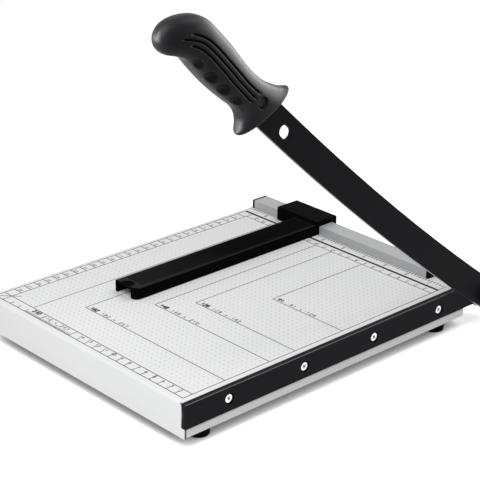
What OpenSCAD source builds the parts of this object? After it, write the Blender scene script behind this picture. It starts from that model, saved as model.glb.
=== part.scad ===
// Guillotine paper cutter: a folded steel tray with a fixed lower blade along its right side,
// a bowed blade arm hinged behind the tray, a ruler rail across the rear and a sliding paper stop.
// Millimetres, +Z up, +X to the cutting side, +Y to the rear.
// The blade arm is drawn raised, as it stands when paper is laid in.

/* [Board and tray] */
// Length of the board, from the ruler's face to the front wall
board_l = 308; // [260:1:380]
// Width of the board, from its left wall to the wall behind the lower blade
tray_w = 251.5; // [210:0.5:320]
// Height of the folded walls
wall_h = 29.2; // [29:0.2:42]
// Thickness of the steel sheet
sheet_t = 1.2; // [0.8:0.1:1.6]
// Outside radius of the folds
fold_r = 1.8; // [1.7:0.1:3]
// Width of the lips turned in below the side walls
lip_w = 26; // [25:0.5:32]
// Gap of the seams between side walls and end walls
seam_gap = 0.7; // [0.3:0.1:1]
// How far the wall below the lower blade ends before the rear wall
rear_notch = 3.8; // [3:0.1:8]
// Radius of that wall's lower rear corner
corner_r = 3; // [2:0.1:5]
// How far that wall lies behind the outer face of the lower blade
wall_inset = 0.6; // [0.3:0.1:1.5]
// How far the front wall ends before that wall's outer face
tab_inset = 0.4; // [0:0.1:1]

/* [Feet] */
// Diameter of a rubber foot at the table
foot_d = 17.2; // [14:0.1:20]
// How much wider a foot is at the tray than at the table
foot_taper = 0.6; // [0:0.1:2]
// Height of a foot
foot_h = 9.4; // [7:0.1:14]
// Distance from a side wall to a foot's axis
foot_inset_x = 14; // [11:0.5:16]
// Distance from an end wall to a foot's axis
foot_inset_y = 26; // [16:0.5:40]
// Diameter of the foot screws
foot_screw_d = 4; // [3:0.1:4.5]
// Rubber left between a foot's screw head and the tray
foot_seat_t = 3; // [2:0.5:4]

/* [Lower blade] */
// Thickness of the fixed bar
bar_t = 4.5; // [4:0.1:6]
// Height of the fixed bar
bar_h = 20.8; // [18:0.2:26]
// Depth of the hollow ground along the back of the bar
bar_hollow = 1.4; // [0.3:0.1:1.5]
// Height of that hollow
bar_hollow_h = 14; // [8:0.5:14.5]
// Distance from the top of the bar to the middle of that hollow
bar_hollow_low = 9.8; // [8:0.1:12]
// Chamfer ground along the upper outer edge of the bar and down its front end
bar_edge = 0.4; // [0.2:0.1:1]
// Distance from the front end of the bar to its first screw
bar_screw_first = 44.8; // [20:0.1:60]
// Distance from one bar screw to the next
bar_screw_pitch = 81; // [60:0.5:85]
// Number of bar screws
bar_screws = 4; // [2:1:4]
// How much lower each screw lies than the one in front of it
bar_screw_fall = 0.6; // [0:0.1:1]
// Diameter of the bar screws
bar_screw_d = 3.5; // [3:0.1:4.5]
// Diameter of their countersunk heads
bar_screw_head_d = 6.9; // [5.8:0.1:7.2]
// Diameter of the sunk seats of those heads
bar_seat_d = 9.2; // [8.6:0.1:10]
// Depth at which those heads lie in the bar
bar_seat_h = 1; // [0.4:0.1:1.1]

/* [Ruler rail] */
// Depth of the rail, front face to rear face
ruler_d = 17; // [14:0.5:24]
// Height of the rail above the board
ruler_h = 8; // [7:0.5:11]
// Wall of the hollow rail
ruler_wall = 1.6; // [1.2:0.1:2.2]
// Distance from the tray's left wall to the rail
ruler_left = 3; // [2.5:0.5:12]
// Distance from the rail to the cut
ruler_right = 31; // [20:0.5:50]
// Thickness of the end caps
cap_t = 2.6; // [1:0.1:3]
// Length of the plugs that hold the caps in the rail
cap_plug_l = 8; // [5:0.5:12]
// Diameter of the screws under the rail
ruler_screw_d = 3.5; // [3:0.1:4]
// Number of screws under the rail
ruler_screws_n = 3; // [2:1:5]

/* [Paper stop] */
// Distance from the cut to the right side of the stop, as it stands
stop_x = 163.5; // [60:0.5:185]
// Width of the stop's head along the rail
stop_head_w = 51.5; // [40:0.5:60]
// Thickness of the head above the rail
stop_roof_t = 5.1; // [3.5:0.1:7]
// Thickness of the head's front flange
stop_front_t = 4; // [3:0.1:6]
// Thickness of the head's rear flange
stop_rear_t = 3.2; // [2:0.1:4]
// Length of the stop's arm in front of the ruler's face
stop_arm_l = 219.9; // [120:0.1:240]
// Width of the stop's arm
stop_arm_w = 27; // [22:0.5:36]
// Thickness of the stop's right leg, which the paper meets
stop_leg_t = 6.8; // [4:0.1:8]
// Radius of the rounded corner at the free end of that leg
stop_end_r = 6; // [3:0.5:9]
// Height of the stop's arm
stop_arm_h = 10.6; // [7:0.1:11]
// Wall of the stop's channel arm
stop_wall = 2.4; // [1.8:0.1:3]
// Height at which the stop hangs above the board
stop_lift = 0.5; // [0.3:0.1:1]
// Depth of the thumb dip at the end of the stop's arm
thumb_dip = 1.6; // [0.5:0.1:1.7]
// Distance from one grip rib to the next on the stop's arm
rib_pitch = 2.5; // [2:0.1:6]
// Depth of the grooves between those ribs
rib_h = 0.6; // [0.2:0.1:0.8]
// Play between the stop and the rail
stop_play = 0.15; // [0.1:0.05:0.3]
// Room for the friction spring behind the rail
spring_room = 2.4; // [1.6:0.1:3]
// Thickness of the friction spring
spring_t = 0.4; // [0.3:0.1:0.6]
// Length of the friction spring along the rail
spring_l = 35; // [25:1:38]
// Height of the friction spring
spring_h = 4.4; // [3.5:0.1:5]

/* [Blade arm] */
// Thickness of the blade arm
arm_t = 3; // [2:0.1:4]
// Width of the blade arm
arm_w = 25; // [20:0.5:30]
// Radius to which the arm is bowed
arm_bow_r = 3100; // [2500:10:6000]
// How far the arm passes the tray's front wall before it enters the grip
arm_past = -1; // [-3:1:20]
// Length of the full-width arm inside the guard
arm_in_grip = 21; // [18:0.5:23]
// Angle of the arm above its closed place, as it stands
arm_angle = 36.4; // [10:0.1:70]
// Height of the ground bevel along the cutting edge
bevel_h = 0.8; // [0.6:0.1:3]
// Thickness left at the cutting edge
edge_t = 0.5; // [0.3:0.1:1]
// Width of the oblong hole near the grip
hang_hole_w = 9.4; // [7:0.1:11]
// Length of that hole, along the arm
hang_hole_l = 13.2; // [12:0.1:18]
// Distance along the arm from the middle of that hole to the grip
hang_hole_back = 19.2; // [12:0.1:40]
// Distance from that hole to the middle of the arm, towards the cutting edge
hang_hole_low = 0.9; // [-3:0.1:3]
// Gap between the blade arm and the lower blade
blade_gap = 0.1; // [0.05:0.05:0.3]
// Length of the tang inside the grip
tang_l = 92; // [60:1:105]
// Width of the tang
tang_w = 16; // [12:0.5:18]
// Thickness of the tang, ground down from the arm's
tang_t = 2.5; // [1.5:0.1:2.8]

/* [Pivot] */
// Distance from the ruler's face back to the pivot
pivot_y = 38; // [34:0.5:50]
// Depth of the pivot below the board
pivot_drop = 13.5; // [11:0.1:14]
// Diameter of the eyes of the blade arm and the lower blade round the pivot
eye_d = 26; // [22:0.5:34]
// Diameter of the pivot bolt
bolt_d = 8; // [6:0.5:9]
// Wall of the bush in the arm
bush_wall = 1.5; // [1:0.1:2]
// Running clearance of the pivot, on the radius
pivot_play = 0.05; // [0.02:0.01:0.08]
// Depth of the bolt's head
bolt_head_h = 5.2; // [4:0.1:7]
// Height of the lock nut
lock_nut_h = 8; // [6:0.5:10]
// Diameter of the pivot washers
washer_d = 18; // [16:0.5:22]
// Thickness of the pivot washers
washer_t = 1.4; // [1:0.1:2]
// Thickness of one disc spring
disc_t = 0.9; // [0.6:0.1:1.2]
// Cone height of one disc spring
disc_cone = 0.5; // [0.3:0.1:0.8]

/* [Grip] */
// Length of the grip
grip_l = 135; // [118:1:152]
// Height of the guard
grip_h = 52; // [46:0.1:60]
// Greatest thickness of the grip
grip_w = 27.6; // [24:0.1:34]
// Distance along the grip to its screw
grip_screw_g = 27.5; // [24:0.5:40]
// Diameter of the grip screw
grip_screw_d = 4; // [3.5:0.1:4.5]
// Diameter of its head
grip_head_d = 8.2; // [7.6:0.1:8.4]
// Height of its head
grip_head_h = 2.6; // [2:0.1:3.4]
// Diameter of the recess for its head
grip_recess_d = 8.8; // [8.6:0.1:10]
// Depth of the recess for its head
grip_recess = 5.4; // [4.6:0.1:6]
// Width of the grooves along the sides of the grip
groove_w = 2; // [1:0.1:2.4]
// Depth of those grooves
groove_d = 1; // [0.4:0.1:1.5]
// Radius of the finger scoops in the sides of the grip
scoop_r = 9; // [6:0.5:10]
// Distance from one finger scoop to the next
scoop_pitch = 16.5; // [15:0.1:18]
// Number of finger scoops on each side
scoops = 4; // [2:1:4]
// Distance along the grip to the first finger scoop
scoop_g = 47.8; // [42:0.1:52]
// Distance of the scoops' centres from the middle of the grip, sideways
scoop_side = 14.8; // [14:0.1:18]
// Distance of the scoops' centres below the middle of the arm
scoop_low = 16.4; // [13:0.1:18]

/* [Hidden] */
$fn = 64;
// Facets on a full turn of the blade arm's large bow
bow_fn = 2400;
// Clearance round fasteners and plugs
fit_gap = 0.1;
// Overlap that lets one cut pass clean through a face
cut_past = 1;
// How far screws and bolts stand out past what they hold
screw_past = 1;

tray_l = board_l + ruler_d;
top_z = foot_h + wall_h;
arm_mid_x = blade_gap + arm_t / 2;
arm_out_x = blade_gap + arm_t;

// Nuts and screw heads, from the screw's diameter
function nut_flats(d) = 1.75 * d;
function nut_h(d) = 0.8 * d;
function pan_d(d) = 1.9 * d;
function pan_h(d) = 0.65 * d;

// Length of the arm from the pivot to the grip, and its direction there from its tangent at the pivot
arm_l = board_l + pivot_y + arm_past;
tang_angle = arm_l / arm_bow_r * 180 / PI;
grip_y = -arm_bow_r * sin(tang_angle);
grip_z = arm_bow_r * (1 - cos(tang_angle));

// Grip stations: place and height of the top rail, then of the bottom rail, half thickness, and squareness
// of the upper and of the lower half.
// Places are shares of grip_l, heights of grip_h and half thicknesses of half of grip_w.
// An ellipse has the squareness 2, and a higher one gives fuller corners.
grip_stations = [
    [0.034, 0.471, 0.155, -0.510, 0.76, 2.0, 2.0],
    [0.030, 0.492, 0.171, -0.502, 0.87, 2.0, 2.0],
    [0.072, 0.424, 0.189, -0.401, 0.91, 2.0, 2.2],
    [0.144, 0.350, 0.223, -0.303, 0.93, 2.1, 2.6],
    [0.235, 0.292, 0.277, -0.261, 0.93, 2.2, 3.0],
    [0.347, 0.281, 0.363, -0.276, 0.94, 2.2, 3.2],
    [0.460, 0.308, 0.472, -0.290, 0.97, 2.2, 3.2],
    [0.579, 0.344, 0.583, -0.287, 1.00, 2.2, 3.2],
    [0.697, 0.358, 0.686, -0.267, 1.00, 2.2, 3.2],
    [0.779, 0.358, 0.765, -0.256, 0.97, 2.2, 3.0],
    [0.851, 0.302, 0.830, -0.312, 0.93, 2.2, 2.7],
    [0.910, 0.203, 0.884, -0.380, 0.85, 2.2, 2.4],
    [0.962, 0.066, 0.931, -0.390, 0.70, 2.2, 2.3],
    [0.994, -0.069, 0.970, -0.345, 0.46, 2.1, 2.2],
    [0.999, -0.180, 0.989, -0.253, 0.17, 2.1, 2.1]
];
// Side grooves, from the highest: places along the grip as shares of grip_l, and rises on the section there,
// from 1 at the top rail to -1 at the bottom rail.
groove_lines = [
    [[0.255, 0.185], [0.450, 0.229], [0.600, 0.210], [0.695, 0.210], [0.780, 0.152], [0.877, 0.175]],
    [[0.253, -0.150], [0.365, -0.070], [0.518, -0.031], [0.669, -0.037], [0.760, -0.075], [0.910, -0.110]],
    [[0.256, -0.420], [0.382, -0.342], [0.537, -0.289], [0.688, -0.286], [0.774, -0.352], [0.851, -0.337]]
];
// Corners of a groove: shares of its half width and of its depth
groove_section = [[1, 0], [0.4, 1], [-0.4, 1], [-1, 0]];
// Share of grip_l over which a groove runs out at each end
groove_run = 0.024;
// Greatest half width of a groove on a small section, as a rise
groove_limit = 0.09;
// Facets between two stations, and on a section's side above and below the grooves
grip_steps = 3;
grip_top_steps = 9;
grip_low_steps = 8;

// Smooth curve through four values, from the second to the third as u goes from 0 to 1
function blend(a, b, c, d, u) =
    0.5 * (2 * b + (c - a) * u + (2 * a - 5 * b + 4 * c - d) * u * u + (3 * b - a - 3 * c + d) * u * u * u);
function clamp_index(i) = max(0, min(len(grip_stations) - 1, i));
function station(i, u) = [
    for (k = [0:6])
        blend(
            grip_stations[clamp_index(i - 1)][k], grip_stations[i][k],
            grip_stations[clamp_index(i + 1)][k], grip_stations[clamp_index(i + 2)][k], u
        )
];
grip_rows = [
    for (i = [0:len(grip_stations) - 2], j = [0:grip_steps - 1]) station(i, j / grip_steps),
    grip_stations[len(grip_stations) - 1]
];
// Squareness of the half in which a rise lies
function half_square(row, rise) = rise < 0 ? row[6] : row[5];
// Rounded-square form of a sine or cosine, and the angle at which such a cosine reaches a rise
function squared(v, squareness) = sign(v) * pow(abs(v), 2 / squareness);
function rise_angle(rise, squareness) = acos(sign(rise) * pow(abs(rise), squareness / 2));
function groove_depth(line, place) =
    let (ends = [line[0][0], line[len(line) - 1][0]])
    groove_d * max(0, min(1, (place - ends[0]) / groove_run, (ends[1] - place) / groove_run));
// Angles and depths across the grooves on one side of a row's section
function groove_marks(row) =
    let (place = (row[0] + row[2]) / 2)
    let (half_w = min(groove_limit, groove_w / (grip_h * (row[1] - row[3]))))
    [
        for (line = groove_lines, corner = groove_section)
            let (rise = lookup(place, line) + half_w * corner[0])
            [rise_angle(rise, half_square(row, rise)), groove_depth(line, place) * corner[1]]
    ];
// Angles and depths down one side of a row's section, from the top rail to the bottom rail
function side_marks(row) =
    let (marks = groove_marks(row), first = marks[0][0], last = marks[len(marks) - 1][0])
    [
        for (k = [0:grip_top_steps - 1]) [first * k / grip_top_steps, 0],
        each marks,
        for (k = [1:grip_low_steps]) [last + (180 - last) * k / grip_low_steps, 0]
    ];
function grip_point(row, angle, depth) =
    let (square = half_square(row, cos(angle)))
    let (rise = squared(cos(angle), square), side = squared(sin(angle), square))
    let (along = (row[0] + row[2]) / 2 + (row[0] - row[2]) / 2 * rise)
    let (up = (row[1] + row[3]) / 2 + (row[1] - row[3]) / 2 * rise)
    [row[4] * grip_w / 2 * side - depth, -along * grip_l, up * grip_h];
// Ring of points round a row's section: down its right side, then up its left side
function grip_ring(row) =
    let (right = [for (mark = side_marks(row)) grip_point(row, mark[0], mark[1])])
    [
        each right,
        for (k = [len(right) - 2:-1:1]) [-right[k][0], right[k][1], right[k][2]]
    ];
grip_rings = [for (row = grip_rows) grip_ring(row)];

// Rest box of the cutter, measured from the cut and the ruler's face
grip_lean = arm_angle + tang_angle;
grip_front = min([
    for (ring = grip_rings, p = ring) p[1] * cos(grip_lean) + p[2] * sin(grip_lean)
]) + pivot_y + grip_y * cos(arm_angle) + grip_z * sin(arm_angle);
grip_right = max([for (ring = grip_rings, p = ring) p[0]]) + arm_mid_x;
bolt_right = arm_out_x + washer_t + bolt_head_h;
box_x = [-bar_t - tray_w, max(grip_right, bolt_right)];
box_y = [min(-board_l, grip_front), pivot_y + eye_d / 2];
cut_x = -(box_x[0] + box_x[1]) / 2;
datum_y = -(box_y[0] + box_y[1]) / 2;

// Places on the tray
left_x = -bar_t - tray_w;
wall_x = -bar_t;
front_y = -board_l;
rear_y = ruler_d;
// Room kept behind the last bar screw
bar_screw_last = 20;
bar_pitch = min(bar_screw_pitch, (tray_l - bar_screw_first - bar_screw_last) / (bar_screws - 1));
bar_screw_places = [
    for (i = [0:bar_screws - 1]) [front_y + bar_screw_first + i * bar_pitch, -bar_h / 2 - i * bar_screw_fall]
];
ruler_x0 = left_x + ruler_left;
ruler_x1 = -ruler_right;
ruler_screw_xs = [
    for (i = [0:ruler_screws_n - 1]) ruler_x0 + (i + 0.5) * (ruler_x1 - ruler_x0) / ruler_screws_n
];
foot_xs = [left_x + foot_inset_x, -foot_inset_x];
foot_ys = [front_y + foot_inset_y, rear_y - foot_inset_y];

// Places on the stop, across the rail
stop_x1 = max(-stop_x, ruler_x0 + cap_t + stop_head_w);
stop_front_y = -stop_play - stop_front_t;
stop_rear_in_y = ruler_d + spring_room;
stop_top_z = ruler_h + stop_play + stop_roof_t;
spring_screw_d = 2;
spring_x = stop_x1 - stop_head_w / 2;
spring_z = (ruler_h + stop_lift) / 2;

// Frames: on the board at the cut and the ruler's face, on the arm at the pivot, on the grip
module on_board() {
    translate([cut_x, datum_y, top_z]) children();
}

module on_arm() {
    on_board() translate([0, pivot_y, -pivot_drop]) rotate([-arm_angle, 0, 0]) children();
}

module on_grip() {
    on_arm() translate([arm_mid_x, grip_y, grip_z]) rotate([-tang_angle, 0, 0]) children();
}

module along_x() {
    rotate([0, 90, 0]) children();
}

// Rectangle with round corners, lower left corner at the origin
module round_rect(w, h, r) {
    translate([r, 0]) square([w - 2 * r, h]);
    translate([0, r]) square([w, h - 2 * r]);
    for (x = [r, w - r], y = [r, h - r]) translate([x, y]) circle(r);
}

// Bar of a profile drawn in Y and Z, carried along +X
module bar_along_x(l) {
    rotate([90, 0, 90]) linear_extrude(l) children();
}

// Bar of a profile drawn in X and Z, carried along -Y
module bar_along_y(l) {
    rotate([90, 0, 0]) linear_extrude(l) children();
}

// Screws stand on z = 0 with the shank upwards
module pan_screw(d, l) {
    cylinder(d = d, h = l);
    translate([0, 0, -pan_h(d)]) cylinder(d = pan_d(d), h = pan_h(d));
}

module countersunk_screw(d, head_d, l) {
    head_h = (head_d - d) / 2;
    slot_w = head_d * 0.12;
    slot_l = head_d * 0.58;
    difference() {
        union() {
            cylinder(d1 = head_d, d2 = d, h = head_h);
            cylinder(d = d, h = l);
        }
        for (turn = [45, 135])
            rotate([0, 0, turn]) translate([-slot_l / 2, -slot_w / 2, -cut_past])
                cube([slot_l, slot_w, cut_past + head_h * 0.7]);
    }
}

module hex_nut(d) {
    difference() {
        cylinder(d = nut_flats(d) / cos(30), h = nut_h(d), $fn = 6);
        translate([0, 0, -cut_past]) cylinder(d = d + 2 * fit_gap, h = nut_h(d) + 2 * cut_past);
    }
}

module washer(d, bore, t) {
    difference() {
        cylinder(d = d, h = t);
        translate([0, 0, -cut_past]) cylinder(d = bore, h = t + 2 * cut_past);
    }
}

// Side walls with their lips, as one folded channel; the right wall steps out below the lower blade
module side_channel_profile() {
    step_h = wall_h - bar_h;
    inner_r = fold_r - sheet_t;
    difference() {
        union() {
            translate([left_x, -wall_h]) round_rect(tray_w, wall_h, fold_r);
            translate([-lip_w, -wall_h]) round_rect(lip_w - wall_inset, step_h, fold_r);
        }
        translate([left_x + sheet_t, sheet_t - wall_h])
            round_rect(tray_w - 2 * sheet_t, wall_h - 2 * sheet_t, inner_r);
        translate([-lip_w, sheet_t - wall_h])
            round_rect(lip_w - wall_inset - sheet_t, step_h - 2 * sheet_t, inner_r);
        translate([left_x + lip_w, -wall_h - cut_past])
            square([-left_x - 2 * lip_w, sheet_t + 2 * cut_past]);
    }
}

// End walls folded down from the board
module end_channel_profile() {
    difference() {
        translate([front_y, -wall_h - fold_r]) round_rect(tray_l, wall_h + fold_r, fold_r);
        translate([front_y + sheet_t, -wall_h - fold_r])
            round_rect(tray_l - 2 * sheet_t, wall_h + fold_r - sheet_t, fold_r - sheet_t);
        translate([front_y - cut_past, -wall_h - 2 * fold_r])
            square([tray_l + 2 * cut_past, 2 * fold_r]);
    }
}

module base_tray() {
    side_l = tray_l - 2 * (sheet_t + seam_gap);
    tab_w = bar_t - wall_inset - tab_inset;
    color("whitesmoke") on_board() difference() {
        union() {
            translate([0, front_y + sheet_t + seam_gap + side_l, 0])
                bar_along_y(side_l) side_channel_profile();
            translate([left_x + fold_r, 0, 0]) bar_along_x(tray_w - 2 * fold_r) end_channel_profile();
            for (y = [front_y, rear_y - sheet_t])
                translate([left_x, y, -wall_h]) cube([tray_w, sheet_t, wall_h - fold_r]);
            translate([wall_x, front_y, -wall_h]) cube([tab_w, sheet_t, wall_h - bar_h]);
        }
        translate([wall_x, rear_y - rear_notch, -wall_h - cut_past])
            cube([bar_t + cut_past, rear_notch + cut_past, wall_h - bar_h + 2 * cut_past]);
        translate([-wall_inset - fold_r, rear_y - rear_notch - corner_r, -wall_h])
            bar_along_x(fold_r + cut_past) difference() {
                translate([0, -cut_past]) square(corner_r + cut_past);
                translate([0, corner_r]) circle(corner_r);
            }
        for (p = bar_screw_places)
            translate([wall_x + cut_past, p[0], p[1]]) rotate([0, -90, 0])
                cylinder(d = bar_screw_d + 2 * fit_gap, h = sheet_t + 2 * cut_past);
        for (x = ruler_screw_xs)
            translate([x, ruler_d / 2, -sheet_t - cut_past])
                cylinder(d = ruler_screw_d + 2 * fit_gap, h = sheet_t + 2 * cut_past);
        for (x = foot_xs, y = foot_ys)
            translate([x, y, -wall_h - cut_past])
                cylinder(d = foot_screw_d + 2 * fit_gap, h = sheet_t + 2 * cut_past);
    }
}

module lower_blade() {
    hollow_r = (pow(bar_hollow_h / 2, 2) + pow(bar_hollow, 2)) / (2 * bar_hollow);
    head_h = (bar_screw_head_d - bar_screw_d) / 2;
    color("#26262a") on_board() difference() {
        union() {
            translate([0, pivot_y, 0]) bar_along_y(pivot_y - front_y) polygon([
                [-bar_t, -bar_h], [0, -bar_h], [0, -bar_edge], [-bar_edge, 0], [-bar_t, 0]
            ]);
            translate([-bar_t, pivot_y, -pivot_drop]) along_x() cylinder(d = eye_d, h = bar_t);
        }
        translate([0, rear_y, 0]) bar_along_y(tray_l + cut_past)
            translate([bar_hollow - bar_t - hollow_r, -bar_hollow_low]) circle(hollow_r, $fn = 240);
        translate([0, front_y, -bar_h - cut_past]) linear_extrude(bar_h + 2 * cut_past) polygon([
            [-bar_edge, 0], [0, bar_edge], [cut_past, bar_edge], [cut_past, -cut_past], [-bar_edge, -cut_past]
        ]);
        for (p = bar_screw_places) translate([0, p[0], p[1]]) rotate([0, -90, 0]) {
            cylinder(d = bar_screw_d + 2 * fit_gap, h = bar_t + cut_past);
            cylinder(d = bar_seat_d, h = bar_seat_h);
            translate([0, 0, bar_seat_h])
                cylinder(d1 = bar_screw_head_d + 2 * fit_gap, d2 = bar_screw_d, h = head_h + fit_gap);
        }
        translate([-bar_t - cut_past, pivot_y, -pivot_drop]) along_x()
            cylinder(d = bolt_d + 2 * pivot_play, h = bar_t + 2 * cut_past);
    }
}

module lower_blade_screws() {
    screw_l = bar_t - bar_seat_h + sheet_t + nut_h(bar_screw_d) + screw_past;
    color("silver") on_board() for (p = bar_screw_places)
        translate([-bar_seat_h, p[0], p[1]]) rotate([0, -90, 0])
            countersunk_screw(bar_screw_d, bar_screw_head_d, screw_l);
}

module lower_blade_nuts() {
    color("silver") on_board() for (p = bar_screw_places)
        translate([wall_x - sheet_t, p[0], p[1]]) rotate([0, -90, 0]) hex_nut(bar_screw_d);
}

module ruler_rail() {
    rail_l = ruler_x1 - ruler_x0 - 2 * cap_t;
    color("darkgray") on_board() difference() {
        translate([ruler_x0 + cap_t, 0, 0]) bar_along_x(rail_l) difference() {
            square([ruler_d, ruler_h]);
            translate([ruler_wall, ruler_wall])
                square([ruler_d - 2 * ruler_wall, ruler_h - 2 * ruler_wall]);
        }
        for (x = ruler_screw_xs)
            translate([x, ruler_d / 2, -cut_past])
                cylinder(d = ruler_screw_d + 2 * fit_gap, h = ruler_wall + 2 * cut_past);
    }
}

// End cap with its plug towards +X, outer face at x = 0
module ruler_cap() {
    inset = ruler_wall + fit_gap;
    bar_along_x(cap_t) square([ruler_d, ruler_h]);
    bar_along_x(cap_t + cap_plug_l) translate([inset, inset])
        square([ruler_d - 2 * inset, ruler_h - 2 * inset]);
}

module ruler_cap_left() {
    color("#141414") on_board() translate([ruler_x0, 0, 0]) ruler_cap();
}

module ruler_cap_right() {
    color("#141414") on_board() translate([ruler_x1, 0, 0]) mirror([1, 0, 0]) ruler_cap();
}

module ruler_screws() {
    color("silver") on_board() for (x = ruler_screw_xs)
        translate([x, ruler_d / 2, -sheet_t]) pan_screw(ruler_screw_d, sheet_t + ruler_wall + screw_past);
}

// Section of the stop's head across the rail, in Y and Z
module stop_head_profile() {
    round_r = 1.4;
    depth = stop_rear_in_y + stop_rear_t - stop_front_y;
    difference() {
        translate([stop_front_y, stop_lift - round_r])
            round_rect(depth, stop_top_z - stop_lift + round_r, round_r);
        translate([stop_front_y - cut_past, stop_lift - 2 * round_r])
            square([depth + 2 * cut_past, 2 * round_r]);
        translate([-stop_play, stop_lift - cut_past])
            square([stop_rear_in_y + stop_play, ruler_h + stop_play - stop_lift + cut_past]);
    }
}

// Section of the stop's arm, in X and Z, right side at x = 0
module stop_arm_profile() {
    round_r = 1.2;
    arch_r = 2;
    arch_w = stop_arm_w - stop_wall - stop_leg_t;
    difference() {
        translate([-stop_arm_w, stop_lift - round_r]) round_rect(stop_arm_w, stop_arm_h + round_r, round_r);
        translate([-stop_arm_w - cut_past, stop_lift - 2 * round_r])
            square([stop_arm_w + 2 * cut_past, 2 * round_r]);
        translate([stop_wall - stop_arm_w, stop_lift - arch_r - cut_past])
            round_rect(arch_w, stop_arm_h - stop_wall + arch_r + cut_past, arch_r);
    }
}

// Outline of the stop's arm from above, right side at x = 0, with one rounded corner at the free end
module stop_arm_plan() {
    translate([-stop_arm_w, stop_end_r - stop_arm_l]) square([stop_arm_w, stop_arm_l]);
    translate([-stop_arm_w, -stop_arm_l]) square([stop_arm_w - stop_end_r, stop_arm_l]);
    translate([-stop_end_r, stop_end_r - stop_arm_l]) circle(stop_end_r);
}

// Grooves across the top of the stop's arm, which leave fine ribs between them
module stop_grooves() {
    groove_w = rib_pitch / 2;
    edge = 3;
    clear = 8;
    count = floor((stop_arm_l + stop_front_y - clear - stop_end_r) / rib_pitch);
    for (i = [0:count - 1])
        translate([edge - stop_arm_w, stop_front_y - clear - i * rib_pitch, stop_lift + stop_arm_h - rib_h])
            cube([stop_arm_w - 2 * edge, groove_w, rib_h + cut_past]);
}

module paper_stop() {
    dip_r = 16;
    dip_in = 1.5;
    color("#0d0d0d") on_board() translate([stop_x1, 0, 0]) difference() {
        union() {
            translate([-stop_head_w, 0, 0]) bar_along_x(stop_head_w) stop_head_profile();
            intersection() {
                translate([0, stop_front_y + cut_past, 0]) bar_along_y(stop_arm_l) stop_arm_profile();
                linear_extrude(2 * stop_arm_h) stop_arm_plan();
            }
        }
        stop_grooves();
        translate([-stop_arm_w / 2, dip_in - stop_arm_l, stop_lift + stop_arm_h - thumb_dip + dip_r])
            sphere(dip_r);
        translate([spring_x - stop_x1, stop_rear_in_y - cut_past, spring_z]) rotate([-90, 0, 0])
            cylinder(d = spring_screw_d + 2 * fit_gap, h = stop_rear_t + 2 * cut_past);
    }
}

// Bowed leaf between the rail and the head's rear flange
module stop_spring() {
    bow = spring_room - spring_t - stop_play;
    flat = 5;
    half = spring_l / 2;
    color("gainsboro") on_board() translate([spring_x, stop_rear_in_y, spring_z - spring_h / 2])
        difference() {
            linear_extrude(spring_h) polygon([
                [-half, -bow - spring_t], [-flat, -spring_t], [flat, -spring_t], [half, -bow - spring_t],
                [half, -bow], [flat, 0], [-flat, 0], [-half, -bow]
            ]);
            translate([0, cut_past, spring_h / 2]) rotate([90, 0, 0])
                cylinder(d = spring_screw_d + 2 * fit_gap, h = spring_t + 2 * cut_past);
        }
}

module stop_spring_screw() {
    tip = 0.3;
    color("silver") on_board() translate([spring_x, stop_rear_in_y + stop_rear_t, spring_z])
        rotate([90, 0, 0]) pan_screw(spring_screw_d, stop_rear_t + spring_t + tip);
}

// Section of the blade arm: radius from the bow's centre, and thickness from the inner face
module arm_profile() {
    inner_r = arm_bow_r - arm_w / 2;
    edge_r = arm_bow_r + arm_w / 2;
    polygon([
        [inner_r, blade_gap], [edge_r, blade_gap], [edge_r, blade_gap + edge_t],
        [edge_r - bevel_h, arm_out_x], [inner_r, arm_out_x]
    ]);
}

// Oblong hole through the arm, along its bow
module hang_hole() {
    hole_angle = (arm_l - hang_hole_back) / arm_bow_r * 180 / PI;
    hole_r = arm_bow_r + hang_hole_low;
    straight = hang_hole_l - hang_hole_w;
    on_arm() translate([0, -hole_r * sin(hole_angle), arm_bow_r - hole_r * cos(hole_angle)])
        rotate([-hole_angle, 0, 0]) along_x() linear_extrude(arm_out_x + cut_past) {
            square([hang_hole_w, straight], center = true);
            for (end = [-1, 1]) translate([0, end * straight / 2]) circle(d = hang_hole_w);
        }
}

module blade_arm() {
    sweep = (arm_l + arm_in_grip) / arm_bow_r * 180 / PI;
    color("#222224") difference() {
        union() {
            on_arm() translate([0, 0, arm_bow_r]) along_x() rotate([0, 0, -sweep])
                rotate_extrude(angle = sweep, $fn = bow_fn) arm_profile();
            on_arm() translate([blade_gap, 0, 0]) along_x() cylinder(d = eye_d, h = arm_t);
            on_grip() translate([-tang_t / 2, -tang_l, -tang_w / 2])
                cube([tang_t, tang_l - arm_in_grip / 2, tang_w]);
        }
        on_arm() along_x() cylinder(d = bolt_d + 2 * (bush_wall + pivot_play), h = arm_out_x + cut_past);
        hang_hole();
        on_grip() translate([-arm_t, -grip_screw_g, 0]) along_x()
            cylinder(d = grip_screw_d + 2 * fit_gap, h = 2 * arm_t);
    }
}

// Grip lofted through its stations, closed at both ends
module grip_loft() {
    rings = len(grip_rings);
    n = len(grip_rings[0]);
    centres = [for (ring = [grip_rings[0], grip_rings[rings - 1]]) (ring[0] + ring[n / 2]) / 2];
    points = concat([for (ring = grip_rings, p = ring) p], centres);
    sides = [
        for (i = [0:rings - 2], k = [0:n - 1])
            let (a = i * n + k, b = i * n + (k + 1) % n)
            each [[a, a + n, b], [b, a + n, b + n]]
    ];
    front = [for (k = [0:n - 1]) [rings * n, k, (k + 1) % n]];
    rear = [for (k = [0:n - 1]) [rings * n + 1, (rings - 1) * n + (k + 1) % n, (rings - 1) * n + k]];
    polyhedron(points, concat(sides, front, rear));
}

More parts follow.
